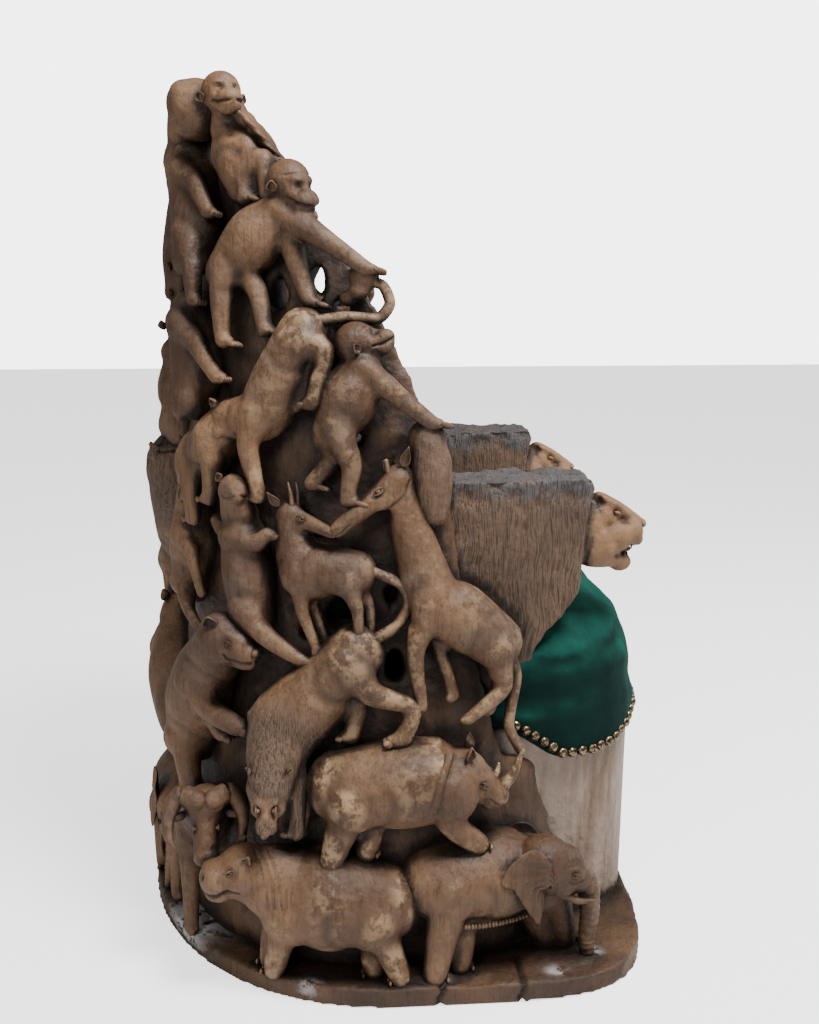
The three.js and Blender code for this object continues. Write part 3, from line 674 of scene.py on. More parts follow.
def elephant_head(h):
    h.lump(0, 0, 0.1, 1.1, 1.0, 1.12)
    h.lump(0.6, 0, 0.05, 0.8, 0.85, 0.85)
    h.lump(1.0, 0, -0.25, 0.55, 0.6, 0.6)
    h.lump(0.5, 0.45, -0.45, 0.5, 0.35, 0.45)
    h.lump(0.62, 0, -0.85, 0.5, 0.4, 0.3)
    h.eye(0.76, 0.86, 0.16, 0.09)
    h.cut([(0.55, 0.44), (0.8, 0.5), (1.02, 0.36)], 0.05, 0.06)
    h.cut([(0.6, -0.1), (0.8, -0.18), (1.0, -0.12)], 0.05, 0.06)
    h.tube([(0.5, 0.5, -0.72), (1.0, 0.56, -0.92), (1.45, 0.5, -0.86)], [0.17, 0.13, 0.06])
    trunk = along_line([(0.95, 0, -0.1, 0.5), (1.3, 0, -0.62, 0.42), (1.48, 0, -1.6, 0.36),
                        (1.52, 0, -2.7, 0.3), (1.66, 0, -3.5, 0.27)], 12)
    trunk[:, 3] *= 1 + 0.05 * np.sin(np.arange(len(trunk)) * 2.1)
    sideways = h.stand.to_3x3() @ Vector((0, 1, 0))
    joints = [(h.stand @ h.at(*row[:3]), sideways, row[3] * h.wide) for row in trunk]
    tube(h.work.crisp, joints, 20)
    for side in (1, -1):
        fan(h, side)


def fan(h, side):
    """A broad hanging ear with ridges that spread from its root, and a rolled top edge."""
    bm = bmesh.new()
    bmesh.ops.create_icosphere(bm, subdivisions=5, radius=1)
    for v in bm.verts:
        x, y, z = v.co
        wide = 0.98 * (0.62 + 0.38 * z) if z < 0 else 0.98 * (1 - 0.18 * z * z)
        ahead = -0.72 + x * wide - min(z, 0) * 0.62
        roll = math.exp(-((z - 0.78) / 0.2) ** 2) * 0.1
        ridge = 0.035 * math.cos(math.atan2(z - 0.5, x - 1.2) * 26) * (1 - z * z)
        v.co = Vector((ahead, y * 0.12 + 1.06 + roll + (ridge if y > 0 else 0) - 0.10 * x, z * 1.42 - 0.28))
        v.co.y *= side
    add_shape(h.work.crisp, bm, h.stand @ Matrix.Scale(h.wide, 4))


def rhino_head(h):
    h.lump(0, 0, 0.05, 1.05, 0.9, 1.0)
    h.lump(0.45, 0, 0, 0.9, 0.72, 0.76)
    h.lump(0.85, 0, -0.05, 0.62, 0.6, 0.6)
    h.lump(1.08, 0, -0.12, 0.4, 0.5, 0.46)
    h.lump(0.7, 0, -0.52, 0.72, 0.48, 0.3)
    h.lump(0.4, 0.5, 0.42, 0.34, 0.22, 0.2)
    h.tube([(1.04, 0, 0.25), (1.14, 0, 0.9), (1.08, 0, 1.9)], [0.3, 0.2, 0.05])
    h.tube([(0.7, 0, 0.45), (0.74, 0, 0.7), (0.7, 0, 1.0)], [0.26, 0.18, 0.06])
    h.ear(-0.08, 0.5, 0.75, 0.75, 0.26, lean=14, spread=22, point=0.45)
    h.eye(0.52, 0.68, 0.22, 0.1)
    for ring in (0.2, 0.3):
        h.cut([(0.52 + ring * 0.45 * math.cos(a), 0.22 + ring * math.sin(a))
               for a in np.linspace(0.4, 2.7, 7)], 0.035, 0.05)
    h.cut([(1.5, -0.34), (1.15, -0.36), (0.85, -0.24), (0.74, -0.34)], 0.05, 0.1)
    h.dent(1.24, 0.42, 0.06, 0.12, 0.12)
    for back in (-0.42, -0.62):
        h.cut([(back, 1.1), (back - 0.05, 0), (back + 0.1, -1.2)], 0.05, 0.06)


def buffalo_head(h):
    h.lump(0, 0, 0.1, 0.95, 0.9, 0.9)
    h.lump(0.45, 0, 0, 0.95, 0.72, 0.7)
    h.lump(0.8, 0, 0, 0.7, 0.62, 0.6)
    h.lump(1.05, 0, 0, 0.5, 0.64, 0.56)
    h.lump(0.0, 0.42, 0.78, 0.5, 0.55, 0.34)
    h.tube([(-0.05, 0.4, 0.75), (-0.2, 1.05, 0.55), (-0.05, 1.45, 0.45), (0.3, 1.72, 0.4),
            (0.68, 1.66, 0.45), (0.88, 1.4, 0.6)], [0.56, 0.5, 0.4, 0.3, 0.2, 0.06])
    h.ear(0.1, 0.85, 0.2, 0.9, 0.28, lean=-30, spread=80, point=0.4)
    h.eye(0.5, 0.6, 0.36, 0.12)
    h.dent(1.5, 0.26, 0.08, 0.13, 0.14)
    h.cut([(1.7, -0.26), (1.35, -0.34), (1.05, -0.24)], 0.05, 0.08)


def lion_head(h):
    h.lump(0, 0, 0.15, 1.0, 0.95, 0.95)
    h.lump(0.62, 0, 0.22, 0.75, 0.36, 0.34)
    h.lump(1.0, 0.2, -0.1, 0.5, 0.34, 0.36)
    h.lump(0.95, 0, -0.5, 0.42, 0.34, 0.26)
    h.lump(0.5, 0.5, -0.15, 0.5, 0.36, 0.42)
    h.lump(0.5, 0.36, 0.52, 0.34, 0.26, 0.18)
    h.lump(1.32, 0, 0.16, 0.2, 0.24, 0.16)
    h.ear(-0.2, 0.72, 0.7, 0.5, 0.26, lean=10, spread=35)
    h.eye(0.7, 0.46, 0.34, 0.13)
    h.cut([(1.6, -0.28), (1.2, -0.34), (0.8, -0.26)], 0.06, 0.12)
    h.dent(1.5, 0.13, 0.1, 0.1, 0.1)


def bear_head(h):
    h.lump(0, 0, 0.1, 1.0, 0.95, 1.0)
    h.lump(0.4, 0, 0.02, 0.95, 0.74, 0.78)
    h.lump(0.75, 0, -0.1, 0.7, 0.5, 0.52)
    h.lump(1.0, 0, -0.02, 0.34, 0.4, 0.38)
    h.lump(0.7, 0, -0.48, 0.75, 0.42, 0.28)
    h.lump(0.3, 0.48, -0.2, 0.6, 0.36, 0.48)
    h.lump(0.42, 0.38, 0.5, 0.42, 0.24, 0.18)
    h.lump(1.2, 0, 0.12, 0.16, 0.26, 0.18, crisp=True)
    h.ear(-0.05, 0.62, 0.66, 0.6, 0.32, lean=8, spread=32)
    h.eye(0.5, 0.62, 0.26, 0.12)
    h.cut([(1.35, -0.28), (0.95, -0.36), (0.65, -0.28), (0.52, -0.12)], 0.05, 0.1)
    h.dent(1.26, 0.18, 0.06, 0.1, 0.1)


def buck_head(h):
    h.lump(0, 0, 0.1, 1.1, 0.9, 1.0)
    h.tube([(0, 0, 0.05), (0.5, 0, -0.02), (1.0, 0, -0.12)], [0.86, 0.58, 0.42], crisp=False, sides=20)
    h.lump(0.3, 0.4, -0.3, 0.7, 0.34, 0.5)
    h.ear(-0.12, 0.62, 0.5, 1.5, 0.42, lean=30, spread=48, point=0.6)
    h.tube([(0.08, 0.32, 0.8), (0.0, 0.45, 1.6), (-0.1, 0.5, 2.3)], [0.22, 0.16, 0.06])
    h.eye(0.36, 0.72, 0.2, 0.19)
    h.cut([(1.3, -0.22), (0.95, -0.3), (0.75, -0.22)], 0.07, 0.1)
    h.dent(1.16, 0.26, 0.05, 0.14, 0.12)


def giraffe_head(h):
    h.lump(0, 0, 0.1, 1.15, 0.95, 1.05)
    h.tube([(0, 0, 0.05), (0.5, 0, -0.06), (1.0, 0, -0.2)], [0.95, 0.66, 0.52], crisp=False, sides=20)
    h.lump(0.28, 0.4, -0.5, 0.9, 0.34, 0.5)
    h.ear(-0.12, 0.62, 0.6, 1.5, 0.42, lean=38, spread=40, point=0.55)
    h.tube([(0.06, 0.34, 0.8), (0.0, 0.4, 1.5)], [0.2, 0.18])
    h.eye(0.32, 0.82, 0.3, 0.19)
    h.cut([(1.3, -0.4), (1.0, -0.5), (0.85, -0.38)], 0.06, 0.1)
    h.dent(1.12, 0.36, 0.0, 0.14, 0.12)
    h.cut([(0.5, -0.75), (0.3, -1.0), (0.05, -0.8), (-0.1, -0.3)], 0.08, 0.1)


def ape_head(h):
    h.lump(-0.1, 0, 0.2, 1.0, 0.92, 0.95)
    h.lump(0.42, 0.26, 0.42, 0.34, 0.42, 0.17)
    h.lump(0.5, 0, 0.08, 0.4, 0.2, 0.36)
    h.lump(0.70, 0, -0.34, 0.66, 0.62, 0.5)
    h.lump(0.58, 0, -0.66, 0.64, 0.58, 0.36)
    h.lump(0.3, 0.48, -0.22, 0.5, 0.34, 0.42)
    h.lump(0.86, 0, -0.02, 0.17, 0.24, 0.12)
    h.ear(-0.12, 0.88, -0.28, 0.52, 0.26, lean=-4, spread=24)
    h.dent(0.64, 0.34, 0.14, 0.2, 0.1)
    for side in (1, -1):
        lump(h.work.crisp, h.stand, h.at(0.44, side * 0.34, 0.13), (0.15 * h.wide,) * 3, fineness=2)
    h.dent(1.0, 0.1, -0.06, 0.07, 0.1)
    h.cut([(1.6, -0.5), (1.15, -0.54), (0.75, -0.5), (0.4, -0.36)], 0.07, 0.16)
    h.cut([(0.6, 0.0), (0.72, -0.12), (0.6, -0.4)], 0.04, 0.05)
    h.cut([(0.2, 0.5), (0.5, 0.68), (0.7, 0.5)], 0.05, 0.05)


def climbing_rump(h):
    """A beast that climbs away: only its round rump shows, with a line down its middle."""
    h.lump(0, 0, 0, 1.05, 1.0, 1.0)
    h.lump(0.5, 0.4, -0.1, 0.8, 0.6, 0.8)
    h.cut([(1.8, -0.2), (1.2, 0), (0.6, 0.4)], 0.06, 0.08)


def cat_head(h):
    h.lump(0, 0, 0.15, 1.0, 0.92, 0.9)
    h.lump(0.5, 0, 0.12, 0.62, 0.34, 0.34)
    h.lump(0.78, 0.16, -0.16, 0.44, 0.3, 0.32)
    h.lump(0.7, 0, -0.48, 0.38, 0.3, 0.24)
    h.lump(0.3, 0.5, -0.1, 0.5, 0.38, 0.42)
    h.lump(0.98, 0, 0.02, 0.2, 0.22, 0.14)
    h.ear(-0.1, 0.62, 0.66, 0.55, 0.3, lean=6, spread=30, point=0.25)
    h.eye(0.52, 0.52, 0.24, 0.13)
    h.cut([(1.3, -0.26), (0.95, -0.32), (0.6, -0.24)], 0.05, 0.1)


HEADS = {"hippo": hippo_head, "elephant": elephant_head, "buffalo": buffalo_head, "rhino": rhino_head,
         "lion": lion_head, "bear": bear_head, "cub": bear_head, "buck": buck_head, "giraffe": giraffe_head,
         "ape": ape_head, "cat": cat_head}
# How far a head in line with its neck turns outwards from the trunk, in degrees.
USUAL_TURN = 10
TURNED = {"lion": 42, "buck": 14, "bear": 18, "lynx": 30}
LOOKS_BACK = ("buck",)
CLIMBS_AWAY = ("top_climber", "climber", "low_climber")
# Where a head sits when it isn't in line with its neck: x, y, z of the poll on the near side, degrees
# turned outwards and raised, then its length and its poll radius.
HEAD_SPOTS = {
    "hippo": (-476, 234, 208, 8, -10, 48, 42),
    "bear": (-376, 268, 572, 34, -12, 60, 44),
    "elephant": (-476, -262, 196, 0, -8, 62, 46),
    "rhino": (-462, -124, 358, 4, -26, 66, 44),
    "buffalo": (-392, 302, 286, 86, -56, 80, 36),
    "cub": (-362, 240, 818, 80, 14, 26, 29),
    "lion": (-482, 190, 358, 84, -46, 64, 35),
    "monkey": (-366, 34, 1056, 6, 32, 48, 36),
    "chimp": (-300, 142, 1304, 40, -14, 50, 38),
    "top_ape": (-238, 250, 1450, 66, 8, 44, 36),
    "top_climber": (-170, 298, 1436, 90, 70, 22, 50),
    "climber": (-200, 312, 1200, 90, -60, 20, 34),
    "low_climber": (-246, 318, 958, 90, -60, 20, 34),
}


# How much of each beast is rubbed pale.
WEAR = {"rhino": 0.9, "hippo": 0.75, "elephant": 0.15, "leopard": 0.45, "lion": 0.5, "giraffe": 0.4,
        "monkey": 0.25, "chimp": 0.15, "top_climber": 0.3, "climber": 0.15, "bear": 0.05, "buck": 0.25}


def spot_stand(spot, side, face):
    """The frame of a head on its own spot."""
    x, y, z, yaw, pitch, _, _ = spot
    yaw, pitch = math.radians(yaw), math.radians(pitch)
    forward = Vector((side * math.sin(yaw) * math.cos(pitch), -face * math.cos(yaw) * math.cos(pitch),
                      math.sin(pitch)))
    across = Vector((0, 0, 1)).cross(forward).normalized()
    up = forward.cross(across)
    return frame_at((-side * x, y + MID_Y, z), forward, across, up)


def walk(start, pairs):
    points = [np.array(start, float)]
    for i in range(0, len(pairs), 2):
        angle = math.radians(pairs[i])
        points.append(points[-1] + np.array([math.cos(angle), math.sin(angle)]) * pairs[i + 1])
    return points


class Carving:
    """Lumps to make one skin of, crisp pieces that stay as they are, and the cuts to carve."""

    def __init__(self):
        self.clay, self.crisp = bmesh.new(), bmesh.new()
        self.cuts, self.dents, self.lines, self.fine = [], [], [], []
        self.wear, self.mane, self.poll = 0.0, None, None


class Beast(Carving):
    """One beast on one side of the trunk. Its own points are [ahead, up] from its body's middle."""

    def __init__(self, row, side):
        super().__init__()
        self.row, self.side = row, side
        self.kind = KINDS[row["kind"]]

    def place(self, point, out):
        z = self.row["at"][1] + point[1]
        reach = self.row["at"][0] + self.row["face"] * point[0]
        around = reach - quarter_reach(z) if self.side == 0 else reach
        sunk = float(smoothstep(abs(around), SHALLOW_FROM, SHALLOW_TO)) * SHALLOW_DEPTH
        return on_trunk(self.side or -1, around, z, out - (sunk if self.side else REAR_SINK))

    def own_points(self, places):
        """[ahead, up] of places in space, and how far out each lies."""
        reach = reach_of(places, self.side or -1)
        if self.side == 0:
            reach = reach + np.array([quarter_reach(z) for z in ARC_HEIGHTS])[
                np.clip(np.rint(places[:, 2] / 25).astype(int), 0, len(ARC_HEIGHTS) - 1)]
        ahead = (reach - self.row["at"][0]) * self.row["face"]
        return np.stack([ahead, places[:, 2] - self.row["at"][1]], axis=1)

    def joints(self, line, steps=5, ease=0.75):
        """Places on a smooth line through rows of ahead, up, out and radius."""
        rows = along_line(line, steps, ease)
        return [(*self.place((ahead, up), out), radius) for ahead, up, out, radius in rows]

    def limb(self, line, bm=None, sides=16, flat=1.0, steps=5, ease=0.75):
        tube(bm or self.clay, self.joints(line, steps, ease), sides, flat)

    def stand(self, point, out, towards, yaw=0.0, upside=False):
        """A frame at a point: x runs along `towards` degrees, y outwards and z up from the beast's back."""
        place, outward = self.place(point, out)
        forward = (self.place(walk(point, [towards, 20])[1], out)[0] - place).normalized()
        tilt = -90 if upside else 90
        up = (self.place(walk(point, [towards + tilt, 20])[1], out)[0] - place).normalized()
        across = up.cross(forward).normalized()
        sign = 1 if across.dot(outward) > 0 else -1
        forward = Matrix.Rotation(math.radians(yaw) * sign, 3, up) @ forward
        across = up.cross(forward).normalized()
        up = forward.cross(across).normalized()
        return frame_at(place, forward, across, up)


def body_of_beast(beast):
    row, kind, name = beast.row, beast.kind, beast.row["name"]
    rump, shoulder = (walk((0, 0), [row["lean"], row["long"] * share])[1] for share in (-0.5, 0.5))
    bulge = -10 if row.get("stands") else 8
    haunch = walk(rump, [row["lean"] + 180, kind["body"][0] * 0.35])[1]
    spine = [(*haunch, bulge, kind["body"][0] * 0.9), (0, 0, bulge, kind["body"][1]),
             (*shoulder, bulge, kind["body"][2])]
    nape = max(kind["neck"], kind["head"] * 0.78)
    spot = HEAD_SPOTS.get(name) if beast.side else None
    if spot:
        stand, length, wide = spot_stand(spot, beast.side, row["face"]), spot[5], spot[6]
        joints = beast.joints(spine)
        start, end = joints[-1], (stand.translation.copy(), joints[-1][1], min(nape * 0.9, wide * 1.12))
        steps = [0.3, 0.6, 1.0]
        joints += [(start[0].lerp(end[0], s), start[1], start[2] + (end[2] - start[2]) * s) for s in steps]
        tube(beast.clay, joints, 24)
    else:
        poll = walk(shoulder, row["neck"])[1]
        beast.limb([*spine, (*poll, 12, nape)], sides=24)
        stand = beast.stand(poll, 14, row["head"][0], TURNED.get(name, USUAL_TURN), name in LOOKS_BACK)
        wide = kind["head"]
        length = max(row["head"][1], NATURAL_LENGTH * wide)
    for root, legs in ((shoulder, row["fore"]), (rump, row["hind"])):
        for far, pairs in enumerate(legs):
            leg_of_beast(beast, root, pairs, far)
    if row.get("tail"):
        start = walk(rump, [row["lean"] + 180, kind["body"][0] * 0.75])[1]
        pairs = [number for pair in row["tail"] for number in pair]
        ends = walk(start, pairs)
        line = [(*p, 18, 10.5 - 2.5 * i / len(ends)) for i, p in enumerate(ends)]
        beast.limb(line, bm=beast.crisp, sides=12)
    carve_head = climbing_rump if beast.side and name in CLIMBS_AWAY else HEADS[row["kind"]]
    carve_head(Head(beast, stand, length, wide))
    middle = stand @ Vector((length * 0.5, 0, 0))
    beast.fine.append((np.array(middle), length * 0.75 + wide * 1.1))
    if row["kind"] == "elephant":
        tie_belt(beast, kind["body"][1], bulge)
    beast.poll = np.array(stand.translation)
    beast.wear = WEAR.get(name, 0.1)
    if row["kind"] == "lion":
        beast.mane = (105, 150, np.array(stand.to_3x3() @ Vector((42, 0, 0))))
    if row["hind"]:
        swell_quarter(beast, rump, row["hind"][0], kind["body"][0], bulge)
    if row["fore"]:
        swell_quarter(beast, shoulder, row["fore"][0], kind["body"][2], bulge)


def tie_belt(beast, girth, bulge):
    """The elephant's belly band: a groove with a row of beads under it."""
    for ahead in np.linspace(-62, 52, 22):
        up = -34 - 16 * math.cos((ahead + 5) / 60)
        spread = math.sqrt(max(girth * girth - up * up, 1)) + bulge - 1
        place, _ = beast.place((ahead, up), spread)
        lump(beast.crisp, Matrix.Translation(place), (0, 0, 0), (4.2, 3.6, 5), fineness=2)
    band = [(a, -26 - 16 * math.cos((a + 5) / 60)) for a in np.linspace(-66, 56, 12)]
    beast.lines.append((band, 3.4, 2.4))


def swell_quarter(beast, root, leg, radius, bulge):
    """The muscle over a hip or a shoulder, with a groove round it where the leg leaves the body."""
    knee = walk(root, leg[:2])[1]
    way = math.degrees(math.atan2(knee[1] - root[1], knee[0] - root[0]))
    middle = walk(root, [way, radius * 0.22])[1]
    place, _ = beast.place(middle, bulge + radius * 0.42)
    lump(beast.clay, Matrix.Translation(place), (0, 0, 0), (radius * 0.66, radius * 0.72, radius * 0.74))
    arc = [walk(middle, [way + turn, radius * 0.86])[1] for turn in np.linspace(35, 140, 9)]
    beast.lines.append((arc, 9, 3.2))


def leg_of_beast(beast, root, pairs, far):
    row, kind = beast.row, beast.kind
    outs = [6, 8, 10, 10] if far else [24, 34, 32, 32]
    line = []
    for i, point in enumerate(walk(root, pairs)):
        rise, out = point[1], outs[i]
        if row.get("stands") and i > 1:
            rise, out = SLAB_TOP + 6 - row["at"][1], out + 4
        line.append((point[0], rise, out, kind["leg"][i] * (1.28, 1.04, 0.95, 0.9)[i]))
    beast.limb(line, ease=0.6)
    foot_of_beast(beast, line[-1], kind["leg"][len(line) - 1])


def foot_of_beast(beast, end, radius):
    stand = beast.stand(end[:2], end[2], 0)
    form = beast.kind["foot"]
    if form == "paw":
        lump(beast.clay, stand, (radius * 0.45, 0, -radius * 0.1),
             (radius * 1.2, radius * 0.95, radius * 0.75))
        for toe in (-0.6, -0.2, 0.2, 0.6):
            lump(beast.crisp, stand, (radius * 1.35, toe * radius * 1.1, -radius * 0.25),
                 (radius * 0.5, radius * 0.26, radius * 0.4), fineness=2)
    elif form == "hoof":
        lump(beast.clay, stand, (radius * 0.35, 0, -radius * 0.25),
             (radius * 1.2, radius * 0.9, radius * 0.85))
    elif form == "hand":
        lump(beast.clay, stand, (radius * 0.5, 0, -radius * 0.1),
             (radius * 1.15, radius * 1.05, radius * 0.7))
        for finger in (-0.75, -0.25, 0.25, 0.75):
            lump(beast.crisp, stand, (radius * 1.6, finger * radius, -radius * 0.3),
                 (radius * 0.95, radius * 0.24, radius * 0.32), pitch=-16, fineness=2)
    else:
        for nail in (-0.62, 0, 0.62):
            lump(beast.crisp, stand, (radius * (0.98 - 0.2 * abs(nail)), nail * radius, -radius * 0.2),
                 (radius * 0.16, radius * 0.26, radius * 0.28), fineness=2)


def gap_to_line(points, line):
    """How far each point lies from a line through a row of points, in the plane."""
    gaps = np.full(len(points), 1e9)
    for a, b in zip(np.array(line, float)[:-1], np.array(line, float)[1:]):
        way = b - a
        share = np.clip(((points - a) @ way) / max(way @ way, 1e-9), 0, 1)
        gaps = np.minimum(gaps, np.linalg.norm(points - a - share[:, None] * way, axis=1))
    return gaps


def refine(skin, fine):
    """Splits the faces near each head, so that small cuts show."""
    bm = bmesh.new()
    bm.from_mesh(skin)
    middles = [(Vector(middle) * MM, (radius * MM) ** 2) for middle, radius in fine]
    near = [f for f in bm.faces
            if any((f.verts[0].co - m).length_squared < r for m, r in middles)]
    edges = list({e for f in near for e in f.edges})
    bmesh.ops.subdivide_edges(bm, edges=edges, cuts=1, use_grid_fill=True)
    close = [v for v in bm.verts if any((v.co - m).length_squared < r for m, r in middles)]
    bmesh.ops.smooth_vert(bm, verts=close, factor=0.5, use_axis_x=True, use_axis_y=True, use_axis_z=True)
    bm.to_mesh(skin)
    bm.free()


def carve(skin, work):
    """Cuts every groove and dent of a carving into its skin, and gives how deep each point went."""
    places, normals = places_of(skin), normals_of(skin)
    depth_at = np.zeros(len(places))
    for inverse, line, width, depth, reach in work.cuts:
        turn = np.array(inverse)
        local = places @ turn[:3, :3].T + turn[:3, 3]
        near = np.where(np.linalg.norm(local, axis=1) < reach)[0]
        sideways = np.abs((normals[near] @ turn[:3, :3].T)[:, 1])
        gap = gap_to_line(local[near][:, [0, 2]], line)
        cut = depth * np.exp(-(gap / max(width, 2.0)) ** 2) * smoothstep(sideways, 0.05, 0.45)
        depth_at[near] = np.maximum(depth_at[near], cut)
    for middle, radius, depth in work.dents:
        gap = np.linalg.norm(places - middle, axis=1)
        depth_at = np.maximum(depth_at, depth * np.exp(-(gap / radius) ** 2))
    if work.lines:
        own = work.own_points(places)
        for line, width, depth in work.lines:
            cut = depth * np.exp(-(gap_to_line(own, line) / width) ** 2)
            depth_at = np.maximum(depth_at, cut)
    push_out(skin, -depth_at)
    return depth_at


def finish_carving(work, name, voxel, softness=6):
    skin = one_skin(work.clay, voxel, softness)
    if work.fine:
        refine(skin, work.fine)
    carved = carve(skin, work)
    count = len(skin.vertices)
    joined = bmesh.new()
    joined.from_mesh(skin)
    bmesh.ops.scale(work.crisp, vec=(MM, MM, MM), verts=work.crisp.verts)
    joined.from_mesh(as_mesh(work.crisp, "crisp"))
    joined.to_mesh(skin)
    joined.free()
    depth = np.concatenate((carved, np.zeros(len(skin.vertices) - count)))
    hollow = hollows(skin)
    hollow[count:] = np.minimum(hollow[count:], 0.8)
    # Darker in creases and carved cuts: painted shade, and dirt that gathers there.
    dirt_and_crease_shade = smoothstep(hollow, 0.6, 3.2) * 0.7 + smoothstep(depth, 0.8, 5) * 0.45
    paint(skin, "crevice", np.clip(dirt_and_crease_shade, 0, 0.85))
    proud = smoothstep(-hollows(skin, 40), 0.8, 5)
    upward = smoothstep(normals_of(skin)[:, 2], -0.5, 0.75)
    paint(skin, "worn", proud * work.wear * (0.35 + 0.65 * upward))
    if work.mane:
        places = places_of(skin)
        gone = np.linalg.norm(places - work.poll, axis=1)
        face = np.linalg.norm(places - (work.poll + work.mane[2]), axis=1) + 0.25 * gone
        hair = (1 - smoothstep(gone, work.mane[0], work.mane[1])) * smoothstep(face, 34, 44)
        comb(skin, hair)
        paint(skin, "hair", hair)
    return dress(name, skin)


def comb(skin, hair, wide=7.5, depth=1.5):
    """Cuts strands down a mane that sway a little."""
    places = places_of(skin)
    cut = np.zeros(len(places))
    for i in np.where(hair > 0.05)[0]:
        x, y, z = places[i]
        sway = 20 * noise.noise(Vector((y / 130, z / 150, x / 130)))
        sway += 3 * noise.noise(Vector((y, z, x)) / 38)
        across = (y + 0.35 * x + 0.22 * z + sway) / wide
        ridge = abs(math.sin(across * math.pi / 2 + 0.9 * noise.noise(Vector((across * 0.6, z / 120, 3)))))
        cut[i] = (ridge ** 1.6) * depth * hair[i]
    push_out(skin, -cut)


WOODEN = []
KEPT_FACES = 0.44


def dress(name, mesh):
    """Makes a carved skin a piece of the throne, above the floor and with fewer faces where it is plain."""
    places = places_of(mesh)
    places[:, 2] = np.maximum(places[:, 2], 1)
    move_to(mesh, places)
    mesh.shade_smooth()
    piece = new_object(name, mesh, WOOD)
    thin = piece.modifiers.new("fewer faces", "DECIMATE")
    thin.ratio = KEPT_FACES
    WOODEN.append(piece)
    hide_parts("carved_throne")
    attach(piece, "root")
    return piece


def carve_herd():
    for row in HERD:
        for side in (-1,) if row.get("near_only") else (-1, 1):
            beast = Beast(row, side)
            body_of_beast(beast)
            finish_carving(beast, f"{FLANKS[side]}_{row['name']}", NEAR_SKIN if side == -1 else FAR_SKIN)
    for row in REAR_HERD:
        beast = Beast(row, 0)
        body_of_beast(beast)
        finish_carving(beast, f"rear_{row['name']}", FAR_SKIN)


# ---- lofts: a skin that follows a plan at every level ----
def loft(bm, levels, sides, plan):
    """A closed skin through the x, y and z that `plan(turn, level)` gives."""
    made = bmesh.ops.create_grid(bm, x_segments=sides, y_segments=len(levels) - 1, size=1)["verts"]
    for vertex in made:
        turn = (vertex.co.x + 1) * math.pi
        level = levels[round((vertex.co.y + 1) / 2 * (len(levels) - 1))]
        vertex.co = Vector(plan(turn, level))
    bmesh.ops.remove_doubles(bm, verts=made, dist=1e-4)
    rims = [e for e in bm.edges if e.is_boundary]
    bmesh.ops.holes_fill(bm, edges=rims, sides=0)
    bmesh.ops.recalc_face_normals(bm, faces=bm.faces)


# The front edge of the back from the side: heights and y, first straight, then bent towards the rear.
HOLLOW_FLOOR, SOLID_INSET, LOW_FRONT = 350, 300, 300
LOW_EDGE = [(HOLLOW_FLOOR, -205), (560, -150), (830, -110)]
EDGE_BEND = [(830, -110), (1180, -20), (TRUNK_TOP, 290)]


def slope_line(z):
    """How far forward the front edge of the back comes at a height."""
    curve = list(LOW_EDGE)
    for t in np.linspace(0.1, 1, 10):
        shares = (1 - t) ** 2, 2 * t * (1 - t), t * t
        curve.append([sum(share * point[k] for share, point in zip(shares, EDGE_BEND)) for k in (0, 1)])
    heights, fronts = zip(*curve)
    return float(np.interp(z, heights, fronts)) + MID_Y


# Where the wall is cut right through: y and z on the side, then half its width and height.
PIERCINGS = [(72, 902, 15, 12), (112, 807, 9, 8), (135, 749, 13, 9), (93, 616, 22, 26),
             (155, 585, 10, 14), (4, 530, 13, 26), (8, 647, 10, 16), (182, 613, 8, 16),
             (200, 1136, 12, 26), (129, 1149, 14, 30), (85, 1112, 14, 14), (257, 1262, 9, 14)]


def pierce():
    """Plugs that stand through the wall wherever it is cut open."""
    bm = bmesh.new()
    for side in (-1, 1):
        for y, z, wide, high in PIERCINGS:
            place, outward = on_trunk(side, -y, z, -50)
            spin = outward.to_track_quat("Z", "Y").to_matrix().to_4x4()
            stand = Matrix.Translation(place) @ spin @ Matrix.Diagonal((wide, high, 1, 1))
            bmesh.ops.create_cone(bm, cap_ends=True, segments=12, radius1=1, radius2=1.25, depth=150,
                                  matrix=stand)
    bmesh.ops.scale(bm, vec=(MM, MM, MM), verts=bm.verts)
    return in_scene("plugs", as_mesh(bm, "plugs"))


def carve_trunk():
    """The hollow back: a wall round the rear, between the skin and the hollow."""
    bm = bmesh.new()
    levels = list(np.linspace(10, TRUNK_TOP - 4, 60))

    def wall(turn, z):
        turn = turn % (2 * math.pi)
        inner = turn > math.pi
        share = (2 * math.pi - turn if inner else turn) / math.pi
        inset = HOLLOW_INSET if inner else CORE_INSET
        if z < HOLLOW_FLOOR and inner:
            inset = SOLID_INSET
        front = slope_line(z) if z > HOLLOW_FLOOR else CENTRE_Y - LOW_FRONT
        turns = np.linspace(-math.pi / 2, math.pi / 2, 200)
        _, ys = trunk_plan(turns, z, inset)
        first = float(np.interp(front, ys, turns))
        at = first + (math.pi - 2 * first) * share
        x, y = trunk_plan(at, z, inset)
        return float(x), float(y), z

    loft(bm, levels, 120, wall)
    skin = one_skin(bm, WALL_SKIN, 4, pierce())
    push_out(skin, crag_at(places_of(skin), 45, 0.9, 2.0, 3) * 4.0)
    # The wall is painted darker all over, and darker still in its hollows as painted shade and dirt.
    paint(skin, "crevice", np.clip(0.35 + smoothstep(hollows(skin), 0.2, 3) * 0.5, 0, 1))
    dress("hollow_back", skin)


# Cracks in the slab's near edge: y, then half the width. They run in as far as x = CRACKS_END.
SLAB_CRACKS = [(-62, 3.5), (-196, 3.0)]
CRACKS_END, CRACK_DEPTH = -470, 9
# Patches of white dust on the slab: x, y, half the width and length, and how white.
CHALK_SPOTS = [(-330, 372, 60, 60, 1), (-525, 150, 11, 15, 0.6), (-520, -258, 11, 15, 0.6),
               (-530, -60, 11, 15, 0.6), (-470, -330, 11, 15, 0.6)]


